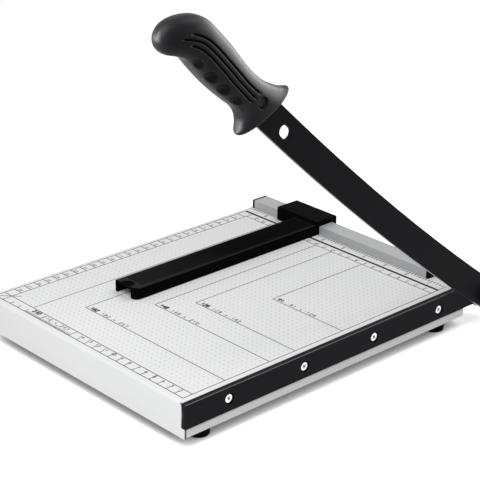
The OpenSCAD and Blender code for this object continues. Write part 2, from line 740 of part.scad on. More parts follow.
module handle_grip() {
    slot_t = arm_t + 2 * fit_gap;
    tang_slot_t = tang_t + 2 * fit_gap;
    seat_x = grip_w / 2 - grip_recess;
    color("#2d2d30") on_grip() difference() {
        grip_loft();
        translate([-slot_t / 2, -arm_in_grip - fit_gap, -arm_w / 2 - fit_gap])
            cube([slot_t, arm_in_grip + grip_l / 4, arm_w + 2 * fit_gap]);
        translate([-tang_slot_t / 2, -tang_l - fit_gap, -tang_w / 2 - fit_gap])
            cube([tang_slot_t, tang_l, tang_w + 2 * fit_gap]);
        translate([-grip_w, -grip_screw_g, 0]) along_x()
            cylinder(d = grip_screw_d + 2 * fit_gap, h = 2 * grip_w);
        translate([seat_x, -grip_screw_g, 0]) along_x() cylinder(d = grip_recess_d, h = grip_w);
        for (side = [-1, 1], i = [0:scoops - 1])
            translate([side * scoop_side, -scoop_g - i * scoop_pitch, -scoop_low]) sphere(scoop_r);
        translate([-seat_x, -grip_screw_g, 0]) rotate([0, -90, 0])
            cylinder(d = (nut_flats(grip_screw_d) + 2 * fit_gap) / cos(30), h = grip_w, $fn = 6);
    }
}

// Plain head in its recess, shank through the tang to the nut on the far side
module handle_screw() {
    seat_x = grip_w / 2 - grip_recess;
    edge = 0.5;
    color("#3a3a3c") on_grip() translate([seat_x, -grip_screw_g, 0]) rotate([0, -90, 0]) {
        cylinder(d = grip_screw_d, h = 2 * seat_x + nut_h(grip_screw_d));
        translate([0, 0, edge - grip_head_h]) cylinder(d = grip_head_d, h = grip_head_h - edge);
        translate([0, 0, -grip_head_h]) cylinder(d1 = grip_head_d - 2 * edge, d2 = grip_head_d, h = edge);
    }
}

module handle_nut() {
    seat_x = grip_w / 2 - grip_recess;
    color("silver") on_grip() translate([-seat_x, -grip_screw_g, 0]) rotate([0, -90, 0])
        hex_nut(grip_screw_d);
}

// Pivot stack, from the bolt's head outside the arm to the lock nut inside the ear
disc_h = disc_t + disc_cone;
rim_gap = 0.05;
stack_l = 2 * disc_h + rim_gap + washer_t;
bolt_flats = 1.625 * bolt_d;

module on_pivot() {
    on_board() translate([0, pivot_y, -pivot_drop]) along_x() children();
}

module pivot_bolt() {
    shank_in = bar_t + stack_l + lock_nut_h + screw_past;
    head_z = arm_out_x + washer_t;
    color("silver") on_pivot() {
        translate([0, 0, -shank_in]) cylinder(d = bolt_d, h = shank_in + head_z);
        translate([0, 0, head_z]) cylinder(d = bolt_flats / cos(30), h = bolt_head_h, $fn = 6);
    }
}

module pivot_bush() {
    color("#b08d57") on_pivot() translate([0, 0, blade_gap])
        washer(bolt_d + 2 * bush_wall, bolt_d + 2 * pivot_play, arm_t);
}

module pivot_washer_outer() {
    color("silver") on_pivot() translate([0, 0, arm_out_x])
        washer(washer_d, bolt_d + 2 * pivot_play, washer_t);
}

// One disc spring, its inner rim raised above its outer rim by the cone height
module disc_spring() {
    rim_inset = 1;
    inner = bolt_d / 2 + 2 * pivot_play;
    outer = washer_d / 2 - rim_inset;
    rotate_extrude() polygon([[outer, 0], [outer, disc_t], [inner, disc_t + disc_cone], [inner, disc_cone]]);
}

module pivot_disc_springs() {
    color("dimgray") on_pivot() {
        translate([0, 0, -bar_t - disc_h]) disc_spring();
        translate([0, 0, -bar_t - disc_h - rim_gap]) mirror([0, 0, 1]) disc_spring();
    }
}

module pivot_washer_inner() {
    color("silver") on_pivot() translate([0, 0, -bar_t - stack_l])
        washer(washer_d, bolt_d + 2 * pivot_play, washer_t);
}

module pivot_lock_nut() {
    collar_h = 2;
    collar_inset = 0.7;
    collar_d = bolt_flats - 2 * collar_inset;
    color("silver") on_pivot() translate([0, 0, -bar_t - stack_l - lock_nut_h]) difference() {
        union() {
            translate([0, 0, collar_h])
                cylinder(d = bolt_flats / cos(30), h = lock_nut_h - collar_h, $fn = 6);
            cylinder(d = collar_d, h = collar_h);
        }
        translate([0, 0, -cut_past]) cylinder(d = bolt_d + 2 * fit_gap, h = lock_nut_h + 2 * cut_past);
    }
}

// Tapered foot with the recess of its screw head below, standing on z = 0
module foot() {
    edge = 0.8;
    head_room = 0.5;
    head_r = pan_d(foot_screw_d) / 2 + head_room;
    bore_r = foot_screw_d / 2 + fit_gap;
    rotate_extrude() polygon([
        [head_r, 0], [foot_d / 2 - edge, 0], [foot_d / 2, edge], [(foot_d + foot_taper) / 2, foot_h],
        [bore_r, foot_h], [bore_r, foot_h - foot_seat_t], [head_r, foot_h - foot_seat_t]
    ]);
}

module foot_at(side, end) {
    color("#161616") translate([cut_x + foot_xs[side], datum_y + foot_ys[end], 0]) foot();
}

module foot_front_left() {
    foot_at(0, 0);
}

module foot_front_right() {
    foot_at(1, 0);
}

module foot_rear_left() {
    foot_at(0, 1);
}

module foot_rear_right() {
    foot_at(1, 1);
}

module foot_screws() {
    screw_l = foot_seat_t + sheet_t + nut_h(foot_screw_d) + screw_past;
    color("silver") for (x = foot_xs, y = foot_ys)
        translate([cut_x + x, datum_y + y, foot_h - foot_seat_t]) pan_screw(foot_screw_d, screw_l);
}

module foot_nuts() {
    color("silver") for (x = foot_xs, y = foot_ys)
        translate([cut_x + x, datum_y + y, foot_h + sheet_t]) hex_nut(foot_screw_d);
}

base_tray();
lower_blade();
lower_blade_screws();
lower_blade_nuts();
ruler_rail();
ruler_cap_left();
ruler_cap_right();
ruler_screws();
paper_stop();
stop_spring();
stop_spring_screw();
blade_arm();
handle_grip();
handle_screw();
handle_nut();
pivot_bolt();
pivot_bush();
pivot_washer_outer();
pivot_disc_springs();
pivot_washer_inner();
pivot_lock_nut();
foot_front_left();
foot_front_right();
foot_rear_left();
foot_rear_right();
foot_screws();
foot_nuts();
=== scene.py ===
"""Looks of a guillotine paper cutter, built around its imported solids.

The tray, blades, rail, stop and fasteners are carried over and get their finishes here.
The moulded grip and the printing on the board are surfaces worked out with numpy.
Sizes in the classes are millimetres unless they say metres, and meshes are metres in the
frame of the solids.
"""

import logging
from dataclasses import dataclass, field, replace
from enum import Enum
from typing import Any, ClassVar, Iterator, Optional, Sequence

import bpy
import numpy as np
from mathutils import Matrix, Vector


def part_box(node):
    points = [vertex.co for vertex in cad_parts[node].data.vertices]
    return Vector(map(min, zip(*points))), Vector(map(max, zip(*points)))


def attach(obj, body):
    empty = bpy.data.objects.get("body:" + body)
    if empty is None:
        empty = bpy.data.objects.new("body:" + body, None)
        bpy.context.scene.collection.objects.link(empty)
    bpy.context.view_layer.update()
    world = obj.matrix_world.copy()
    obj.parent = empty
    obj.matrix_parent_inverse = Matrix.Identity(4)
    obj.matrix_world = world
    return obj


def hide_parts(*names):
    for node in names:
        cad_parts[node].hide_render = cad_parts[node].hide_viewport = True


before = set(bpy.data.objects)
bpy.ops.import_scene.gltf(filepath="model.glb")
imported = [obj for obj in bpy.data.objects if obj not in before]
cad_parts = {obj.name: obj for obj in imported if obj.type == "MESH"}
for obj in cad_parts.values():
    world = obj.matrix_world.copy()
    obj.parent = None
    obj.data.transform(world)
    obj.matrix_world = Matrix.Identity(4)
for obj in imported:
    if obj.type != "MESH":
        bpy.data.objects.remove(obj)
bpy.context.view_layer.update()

LOG = logging.getLogger("paper_cutter")
MM = 0.001
PHOTO_PX = 480
GRIP_PIECE = "moulded_grip"
BOX_FACES = np.array([
    [3, 2, 1, 0], [4, 5, 6, 7], [0, 1, 5, 4], [1, 2, 6, 5], [2, 3, 7, 6], [3, 0, 4, 7],
])


def linear(code: str) -> tuple[float, float, float, float]:
    """Turns an sRGB hex colour into linear RGBA.

    Args:
        code: Colour such as "#2c2c2f".

    Returns:
        Linear red, green and blue, and an alpha of 1.
    """
    srgb = np.array([int(code[i:i + 2], 16) for i in (1, 3, 5)]) / 255.0
    low, high = srgb / 12.92, ((srgb + 0.055) / 1.055) ** 2.4
    red, green, blue = np.where(srgb <= 0.04045, low, high).tolist()
    return red, green, blue, 1.0


def add(
    tree: bpy.types.NodeTree, kind: str, inputs: Optional[dict[Any, Any]] = None, **settings: Any
) -> bpy.types.Node:
    """Adds one node with its settings, values and links.

    Args:
        tree: Node tree that takes the node.
        kind: Blender's name of the node type.
        inputs: Values by socket name or number; an output socket is linked instead of set.
        **settings: Properties of the node itself.

    Returns:
        The new node.
    """
    node = tree.nodes.new(kind)
    for key, value in settings.items():
        setattr(node, key, value)
    for key, value in (inputs or {}).items():
        if isinstance(value, bpy.types.NodeSocket):
            tree.links.new(value, node.inputs[key])
        else:
            node.inputs[key].default_value = value
    return node


def empty_tree(owner: bpy.types.Material | bpy.types.World) -> bpy.types.NodeTree:
    """Gives a material or a world a node tree without nodes.

    Args:
        owner: The material or world.

    Returns:
        Its node tree.
    """
    owner.use_nodes = True
    owner.node_tree.nodes.clear()
    return owner.node_tree


@dataclass(frozen=True)
class Datum:
    """Where the cut meets the ruler's face on top of the board, in metres."""

    x: float
    y: float
    z: float

    @classmethod
    def from_solids(cls) -> "Datum":
        """Reads the cut and the board's top off the lower blade, and the face off the rail."""
        bar_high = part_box("lower_blade")[1]
        return cls(bar_high.x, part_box("ruler_rail")[0].y, bar_high.z)

    def place(self, points: np.ndarray) -> np.ndarray:
        """Moves points from millimetres at the datum to metres in the frame of the solids.

        Args:
            points: Array of shape (n, 3).

        Returns:
            The moved points.
        """
        return points * MM + np.array([self.x, self.y, self.z])


def turn_x(points: np.ndarray, degrees: float) -> np.ndarray:
    """Turns points about the X axis, Y towards Z.

    Args:
        points: Array whose last axis is x, y, z.
        degrees: Angle of the turn.

    Returns:
        The turned points.
    """
    c, s = np.cos(np.radians(degrees)), np.sin(np.radians(degrees))
    return points @ np.array([[1, 0, 0], [0, c, s], [0, -s, c]])


def prisms(
    strokes: np.ndarray, width: float, foot: float, top: float
) -> tuple[np.ndarray, np.ndarray]:
    """Gives each stroke of a level drawing a closed box.

    The sides of a box lie half a width along its stroke's normal, to the left and to the
    right. Its lower and upper faces lie at the two heights.

    Args:
        strokes: Array of shape (n, 4): start and end of each stroke.
        width: Width of the boxes.
        foot: Height of the lower faces.
        top: Height of the upper faces.

    Returns:
        Points of shape (8 n, 3) and quads of shape (6 n, 4).
    """
    start, end = strokes[:, :2], strokes[:, 2:]
    along = (end - start) / np.linalg.norm(end - start, axis=1, keepdims=True)
    side = np.stack([-along[:, 1], along[:, 0]], axis=1) * width / 2
    corners = np.stack([start - side, end - side, end + side, start + side], axis=1)
    flat = np.concatenate([corners, corners], axis=1)
    rise = np.broadcast_to(np.repeat([foot, top], 4), flat.shape[:2])
    faces = BOX_FACES + 8 * np.arange(len(strokes))[:, None, None]
    return np.dstack([flat, rise]).reshape(-1, 3), faces.reshape(-1, 4)


def mesh_object(
    name: str, points: np.ndarray, faces: Sequence[np.ndarray], smooth: bool
) -> bpy.types.Object:
    """Puts arrays of points and faces into a new mesh object at the origin.

    Args:
        name: Name of the piece.
        points: Array of shape (n, 3), in metres.
        faces: Arrays of vertex numbers, one array for quads and one for triangles.
        smooth: Whether the faces are shaded smooth.

    Returns:
        The new object, linked to the scene.
    """
    mesh = bpy.data.meshes.new(name)
    mesh.from_pydata(points.tolist(), [], [face for group in faces for face in group.tolist()])
    mesh.polygons.foreach_set("use_smooth", np.full(len(mesh.polygons), smooth))
    mesh.update()
    piece = bpy.data.objects.new(name, mesh)
    bpy.context.scene.collection.objects.link(piece)
    return piece


# Finishes


@dataclass(frozen=True)
class Finish:
    """A material: a mottled colour, a roughness that varies and a fine relief.

    The colour runs between two shades with a broad noise, the roughness and the relief
    follow a fine one. Mottle and grain are the real sizes of those noises, and the roughness
    runs its whole spread over the noise's usual span.
    """

    name: str
    colour: str
    shade: str
    roughness: float
    spread: float = 0.05
    metallic: float = 0.0
    specular: float = 0.5
    grain: float = 0.6
    relief: float = 0.01
    mottle: float = 25.0
    stretch: tuple[float, float, float] = (1.0, 1.0, 1.0)

    made: ClassVar[dict[str, bpy.types.Material]] = {}
    noise_span: ClassVar[tuple[float, float]] = (0.3, 0.7)
    broad_detail: ClassVar[float] = 3.0
    fine_detail: ClassVar[float] = 2.0

    def material(self) -> bpy.types.Material:
        """Makes the material on first use and hands out the same one after that."""
        if self.name not in self.made:
            material = bpy.data.materials.new(self.name)
            tree = empty_tree(material)
            shader = self.surface(tree)
            self.lay_layers(tree, shader)
            add(tree, "ShaderNodeOutputMaterial", {"Surface": shader.outputs["BSDF"]})
            self.made[self.name] = material
        return self.made[self.name]

    def surface(self, tree: bpy.types.NodeTree) -> bpy.types.Node:
        """Builds the nodes of the plain finish.

        Args:
            tree: Node tree of the material.

        Returns:
            The surface shader.
        """
        place = add(tree, "ShaderNodeTexCoord").outputs["Object"]
        drawn = add(tree, "ShaderNodeMapping", {"Vector": place, "Scale": self.stretch}).outputs[0]
        broad = add(
            tree, "ShaderNodeTexNoise",
            {"Vector": drawn, "Scale": 1 / (self.mottle * MM), "Detail": self.broad_detail},
        )
        fine = add(
            tree, "ShaderNodeTexNoise",
            {"Vector": drawn, "Scale": 1 / (self.grain * MM), "Detail": self.fine_detail},
        )
        tint = add(
            tree, "ShaderNodeMix",
            {0: broad.outputs[0], 6: linear(self.colour), 7: linear(self.shade)}, data_type="RGBA",
        )
        least, most = self.noise_span
        gloss = add(
            tree, "ShaderNodeMapRange",
            {"Value": fine.outputs[0], "From Min": least, "From Max": most,
             "To Min": self.roughness - self.spread, "To Max": self.roughness + self.spread},
        )
        relief = add(
            tree, "ShaderNodeBump",
            {"Height": fine.outputs[0], "Distance": self.relief * MM, "Strength": 1.0},
        )
        return add(
            tree, "ShaderNodeBsdfPrincipled",
            {"Base Color": tint.outputs[2], "Roughness": gloss.outputs[0],
             "Metallic": self.metallic, "Specular IOR Level": self.specular,
             "Normal": relief.outputs[0]},
        )

    def lay_layers(self, tree: bpy.types.NodeTree, shader: bpy.types.Node) -> None:
        """Lays what a special finish has over the plain one, which has nothing."""

    def lay_over(
        self, tree: bpy.types.NodeTree, shader: bpy.types.Node, mask: bpy.types.NodeSocket, colour: str
    ) -> None:
        """Lays a colour over the shader's base colour where a mask is 1.

        Args:
            tree: Node tree of the material.
            shader: Surface shader, with its base colour linked.
            mask: Socket of the mask.
            colour: The colour, sRGB hex.
        """
        under = shader.inputs["Base Color"].links[0].from_socket
        tint = add(tree, "ShaderNodeMix", {0: mask, 6: under, 7: linear(colour)}, data_type="RGBA")
        tree.links.new(tint.outputs[2], shader.inputs["Base Color"])


@dataclass(frozen=True)
class MouldedFinish(Finish):
    """Moulded plastic, satin where hands touch it, with painted shade where it is sunk.

    The painted shade makes a sunk place darker and less glossy. How much of it a place gets is a
    value on the mesh, 0 on the outside and up to 1 on the floor and upper wall of a groove or on
    the unlit side of a scoop.
    """

    sunk_colour: str = "#040404"
    sunk_specular: float = 0.008
    depth_name: ClassVar[str] = "sunk"

    def lay_layers(self, tree: bpy.types.NodeTree, shader: bpy.types.Node) -> None:
        """Paints shade into what is sunk: a darker colour and a lower specular level.

        Args:
            tree: Node tree of the material.
            shader: Shader of the plain finish.
        """
        deep = add(tree, "ShaderNodeAttribute", attribute_name=self.depth_name).outputs["Fac"]
        self.lay_over(tree, shader, deep, self.sunk_colour)
        shine = add(
            tree, "ShaderNodeMapRange",
            {"Value": deep, "To Min": self.specular, "To Max": self.sunk_specular},
        )
        tree.links.new(shine.outputs[0], shader.inputs["Specular IOR Level"])


@dataclass(frozen=True)
class ScrewRow:
    """A row of screws along y: first axis, pitch and a radius in metres, and a lean in radians."""

    first: tuple[float, float, float] = (0.0, 0.0, 0.0)
    pitch: float = 1.0
    lean: float = 0.0
    radius: float = 0.0

    def mask(self, tree: bpy.types.NodeTree) -> bpy.types.NodeSocket:
        """Marks what lies within the radius of an axis, with places wrapped to the nearest one.

        Args:
            tree: Node tree of the material.

        Returns:
            Socket that is 1 inside and 0 outside.
        """
        place = add(tree, "ShaderNodeTexCoord").outputs["Object"]
        along = add(
            tree, "ShaderNodeMapping",
            {"Vector": place, "Location": self.first, "Rotation": (self.lean, 0.0, 0.0)},
            vector_type="TEXTURE",
        ).outputs[0]
        half = self.pitch / 2
        wrapped = add(
            tree, "ShaderNodeVectorMath", {0: along, 1: (1.0, half, 1.0), 2: (-1.0, -half, -1.0)},
            operation="WRAP",
        ).outputs[0]
        flat = add(
            tree, "ShaderNodeVectorMath", {0: wrapped, 1: (0.0, 1.0, 1.0)}, operation="MULTIPLY"
        ).outputs[0]
        reach = add(tree, "ShaderNodeVectorMath", {0: flat}, operation="LENGTH").outputs["Value"]
        return add(
            tree, "ShaderNodeMath", {0: reach, 1: self.radius}, operation="LESS_THAN"
        ).outputs[0]


@dataclass(frozen=True)
class RecessFinish(Finish):
    """Plated screws in a row, with painted shade round the middle of each cross recess."""

    row: ScrewRow = ScrewRow()
    grime: str = "#1c1c1e"

    def lay_layers(self, tree: bpy.types.NodeTree, shader: bpy.types.Node) -> None:
        """Paints shade into the recesses."""
        self.lay_over(tree, shader, self.row.mask(tree), self.grime)


class BrightEdge(Enum):
    """Which edge of a piece is bright: the arm's bowed one, or one at 45 degrees along y."""

    BOW = "bow"
    CHAMFER = "chamfer"


@dataclass(frozen=True)
class EdgeFinish(Finish):
    """A dark finish with one edge that is brighter: ground bare metal, or a painted highlight.

    The edge is a mask on the place, in metres: past a distance from the bow's centre on the
    arm, or past a sum of x and z at a 45 degree edge, and in front of a place in y.
    """

    edge: BrightEdge = BrightEdge.BOW
    centre: tuple[float, float, float] = (0.0, 0.0, 0.0)
    limit: float = 0.0
    bright: str = "#e4e4e6"
    bright_roughness: float = 0.3
    before: float = 10.0
    # When not bare, the bright edge is a painted highlight on the coat.
    bare: bool = True

    def lay_layers(self, tree: bpy.types.NodeTree, shader: bpy.types.Node) -> None:
        """Lays the bright edge over the coat.

        Args:
            tree: Node tree of the material.
            shader: Shader of the plain finish.
        """
        place = add(tree, "ShaderNodeTexCoord").outputs["Object"]
        axes = add(tree, "ShaderNodeSeparateXYZ", {0: place}).outputs
        if self.edge is BrightEdge.BOW:
            flat = add(tree, "ShaderNodeCombineXYZ", {1: axes[1], 2: axes[2]}).outputs[0]
            reach = add(
                tree, "ShaderNodeVectorMath", {0: flat, 1: self.centre}, operation="DISTANCE"
            ).outputs["Value"]
        else:
            reach = add(tree, "ShaderNodeMath", {0: axes[0], 1: axes[2]}, operation="ADD").outputs[0]
        past = add(
            tree, "ShaderNodeMath", {0: reach, 1: self.limit}, operation="GREATER_THAN"
        ).outputs[0]
        front = add(
            tree, "ShaderNodeMath", {0: axes[1], 1: self.before}, operation="LESS_THAN"
        ).outputs[0]
        mask = add(tree, "ShaderNodeMath", {0: past, 1: front}, operation="MULTIPLY").outputs[0]
        self.lay_over(tree, shader, mask, self.bright)
        under = shader.inputs["Roughness"].links[0].from_socket
        gloss = add(tree, "ShaderNodeMix", {0: mask, 2: under, 3: self.bright_roughness})
        tree.links.new(gloss.outputs[0], shader.inputs["Roughness"])
        if self.bare:
            tree.links.new(mask, shader.inputs["Metallic"])


@dataclass(frozen=True)
class RibbedFinish(EdgeFinish):
    """An edge finish with a painted highlight on its rib crests, fading away from the front end.

    The highlight is a mask on the height, above the ribs' flanks, that fades along y, in metres.
    """

    crest: float = 0.0
    worn_from: float = 0.0
    worn_to: float = 1.0
    worn: str = "#29292b"

    def lay_layers(self, tree: bpy.types.NodeTree, shader: bpy.types.Node) -> None:
        """Lays the painted highlight on the crests over the edge finish.

        Args:
            tree: Node tree of the material.
            shader: Shader of the plain finish.
        """
        super().lay_layers(tree, shader)
        place = add(tree, "ShaderNodeTexCoord").outputs["Object"]
        axes = add(tree, "ShaderNodeSeparateXYZ", {0: place}).outputs
        above = add(
            tree, "ShaderNodeMath", {0: axes[2], 1: self.crest}, operation="GREATER_THAN"
        ).outputs[0]
        fade = add(
            tree, "ShaderNodeMapRange",
            {"Value": axes[1], "From Min": self.worn_from, "From Max": self.worn_to,
             "To Min": 1.0, "To Max": 0.0},
        ).outputs[0]
        mask = add(tree, "ShaderNodeMath", {0: above, 1: fade}, operation="MULTIPLY").outputs[0]
        self.lay_over(tree, shader, mask, self.worn)


@dataclass(frozen=True)
class SunkFinish(EdgeFinish):
    """An edge finish with painted shade in the seats round a row of screws."""

    row: ScrewRow = ScrewRow()
    sink: str = "#040405"

    def lay_layers(self, tree: bpy.types.NodeTree, shader: bpy.types.Node) -> None:
        """Paints shade into the seats round the screws."""
        super().lay_layers(tree, shader)
        self.lay_over(tree, shader, self.row.mask(tree), self.sink)


# Powder coat on folded steel: pale grey, even, with a faint orange peel that softens reflections.
TRAY_PAINT = Finish(
    "powder_coated_steel", "#e2e2e2", "#dcdddd", 0.55, 0.04, specular=0.2, grain=1.6, relief=0.008,
    mottle=60,
)
# Screen ink: thin and matt, so it reads as flat grey or black lines.
PRINT_GREY = Finish("screen_ink_grey", "#28292c", "#212225", 0.7, specular=0.1, mottle=8)
PRINT_BLACK = Finish("screen_ink_black", "#121214", "#19191b", 0.7, specular=0.1, mottle=8)
PRINT_PALE = Finish("screen_ink_pale", "#606164", "#525356", 0.7, specular=0.1, mottle=8)
# Bright zinc plate on screws: white metal with a fine crystalline grain.
ZINC_PLATE = Finish(
    "bright_zinc_plate", "#eeeeef", "#d9dadc", 0.32, 0.08, 1.0, grain=0.5, relief=0.004, mottle=3,
)
# Black oxide on the grip screw and the pivot bolt: dark and oily, with a dull gleam.
BLACK_OXIDE = Finish(
    "black_oxide_steel", "#161618", "#1c1c1e", 0.42, 0.08, specular=0.15, grain=0.4, mottle=4,
)
# Cold rolled spring steel: grey metal with a drawn grain.
SPRING_STEEL = Finish(
    "cold_rolled_spring_steel", "#a3a4a8", "#8e9095", 0.35, 0.08, 1.0, grain=0.4, relief=0.003,
    mottle=5, stretch=(0.15, 1.0, 1.0),
)
# Extruded aluminium, clear anodised: satin grey with fine die lines along the rail.
ANODISED_ALUMINIUM = Finish(
    "clear_anodised_aluminium", "#b3b4b5", "#aaabad", 0.48, 0.08, 0.3, grain=0.5, relief=0.006,
    mottle=18, stretch=(0.02, 1.0, 1.0),
)
# Moulded black plastic of the caps: near black, matt from a fine spark texture.
CAP_PLASTIC = Finish("moulded_black_polyethylene", "#070708", "#0c0c0d", 0.5, 0.06, specular=0.02)
# Moulded grip: near-black satin plastic, so lamps leave soft grey streaks; painted shade where sunk.
GRIP_PLASTIC = MouldedFinish(
    "moulded_satin_polypropylene", "#08080a", "#0c0c0e", 0.38, specular=0.1, grain=0.45, mottle=30,
)
# Sintered bronze of the bush: warm dull metal, slightly porous.
SINTERED_BRONZE = Finish("sintered_bronze", "#b08d57", "#94723f", 0.45, 0.1, 1.0, grain=0.3, mottle=3)
# Moulded rubber feet: black and dull, with a bloom of grey.
FOOT_RUBBER = Finish(
    "moulded_black_rubber", "#080808", "#0e0e0e", 0.75, specular=0.03, grain=0.8, relief=0.03,
)


def coat(finish: Finish, *nodes: str) -> None:
    """Gives carried-over solids a finish.

    Args:
        finish: The finish.
        *nodes: Names of the solids.
    """
    for name in nodes:
        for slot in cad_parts[name].material_slots:
            slot.material = finish.material()
        LOG.info("dressed %s: %s", name, finish.name)


def add_piece(piece: bpy.types.Object, finish: Finish, body: str) -> None:
    """Dresses a new piece and lets it ride on a body.

    Args:
        piece: The new object.
        finish: Its finish.
        body: Body that carries it.
    """
    piece.data.materials.append(finish.material())
    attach(piece, body)
    LOG.info("built %s: %d faces on %s", piece.name, len(piece.data.polygons), body)


# Sub-assemblies


# Units of the printed scales
CM, INCH = 10.0, 25.4
# Strokes of the figures, as runs of points on a grid of this width and height
GRID_W, GRID_H = 4, 6
FIGURES: dict[str, tuple[tuple[tuple[float, float], ...], ...]] = {
    "0": (((0, 1), (0, 5), (1, 6), (3, 6), (4, 5), (4, 1), (3, 0), (1, 0), (0, 1)),),
    "1": (((1, 5), (2.4, 6), (2.4, 0)),),
    "2": (((0, 5), (1, 6), (3, 6), (4, 5), (4, 3.8), (0, 0), (4, 0)),),
    "3": (((0, 6), (4, 6), (1.8, 3.6), (3.2, 3.6), (4, 2.6), (4, 1), (3, 0), (1, 0), (0, 1)),),
    "4": (((3, 0), (3, 6), (0, 2), (4, 2)),),
    "5": (((4, 6), (0.4, 6), (0, 3.2), (3, 3.4), (4, 2.4), (4, 1), (3, 0), (1, 0), (0, 1)),),
    "6": (((3.4, 6), (1.4, 5), (0, 2.6), (0, 1), (1, 0), (3, 0), (4, 1), (4, 2.4), (3, 3.4), (0.2, 3)),),
    "7": (((0, 6), (4, 6), (1.4, 0)),),
    "8": (
        ((1, 3.2), (0, 4.2), (0, 5), (1, 6), (3, 6), (4, 5), (4, 4.2), (3, 3.2), (1, 3.2)),
        ((1, 3.2), (0, 2.2), (0, 1), (1, 0), (3, 0), (4, 1), (4, 2.2), (3, 3.2)),
    ),
    "9": (((0.6, 0), (2.6, 1), (4, 3.4), (4, 5), (3, 6), (1, 6), (0, 5), (0, 3.6), (1, 2.6), (3.8, 3)),),
    "x": (((0.4, 0.4), (3.6, 4)), ((0.4, 4), (3.6, 0.4))),
    " ": (),
}


def write(
    text: str, x: float, y: float, height: float, centred: bool = True, advance: float = 5.6
) -> np.ndarray:
    """Sets a line of figures as straight strokes.

    Args:
        text: Figures to set.
        x: Place of the line's middle, or of its start.
        y: Place of its foot.
        height: Height of a figure.
        centred: Whether x is the middle of the line.
        advance: Step from one figure to the next, in steps of the figures' grid.

    Returns:
        Array of shape (n, 4): start and end of each stroke.
    """
    unit = height / GRID_H
    start = x - ((len(text) - 1) * advance + GRID_W) * unit / 2 if centred else x
    strokes = []
    for place, character in enumerate(text):
        for run in FIGURES[character]:
            points = np.array(run) * unit + (start + place * advance * unit, y)
            strokes.append(np.hstack([points[:-1], points[1:]]))
    return np.vstack(strokes)


@dataclass(frozen=True)
class FigureRow:
    """Figures of a scale: the first, one past the last, their pitch, rise of the foot and height."""

    first: int
    past: int
    pitch: float
    rise: float
    height: float

    def places(self) -> Iterator[tuple[str, float]]:
        """Each figure with its place on the scale."""
        return ((str(count), count * self.pitch) for count in range(self.first, self.past))


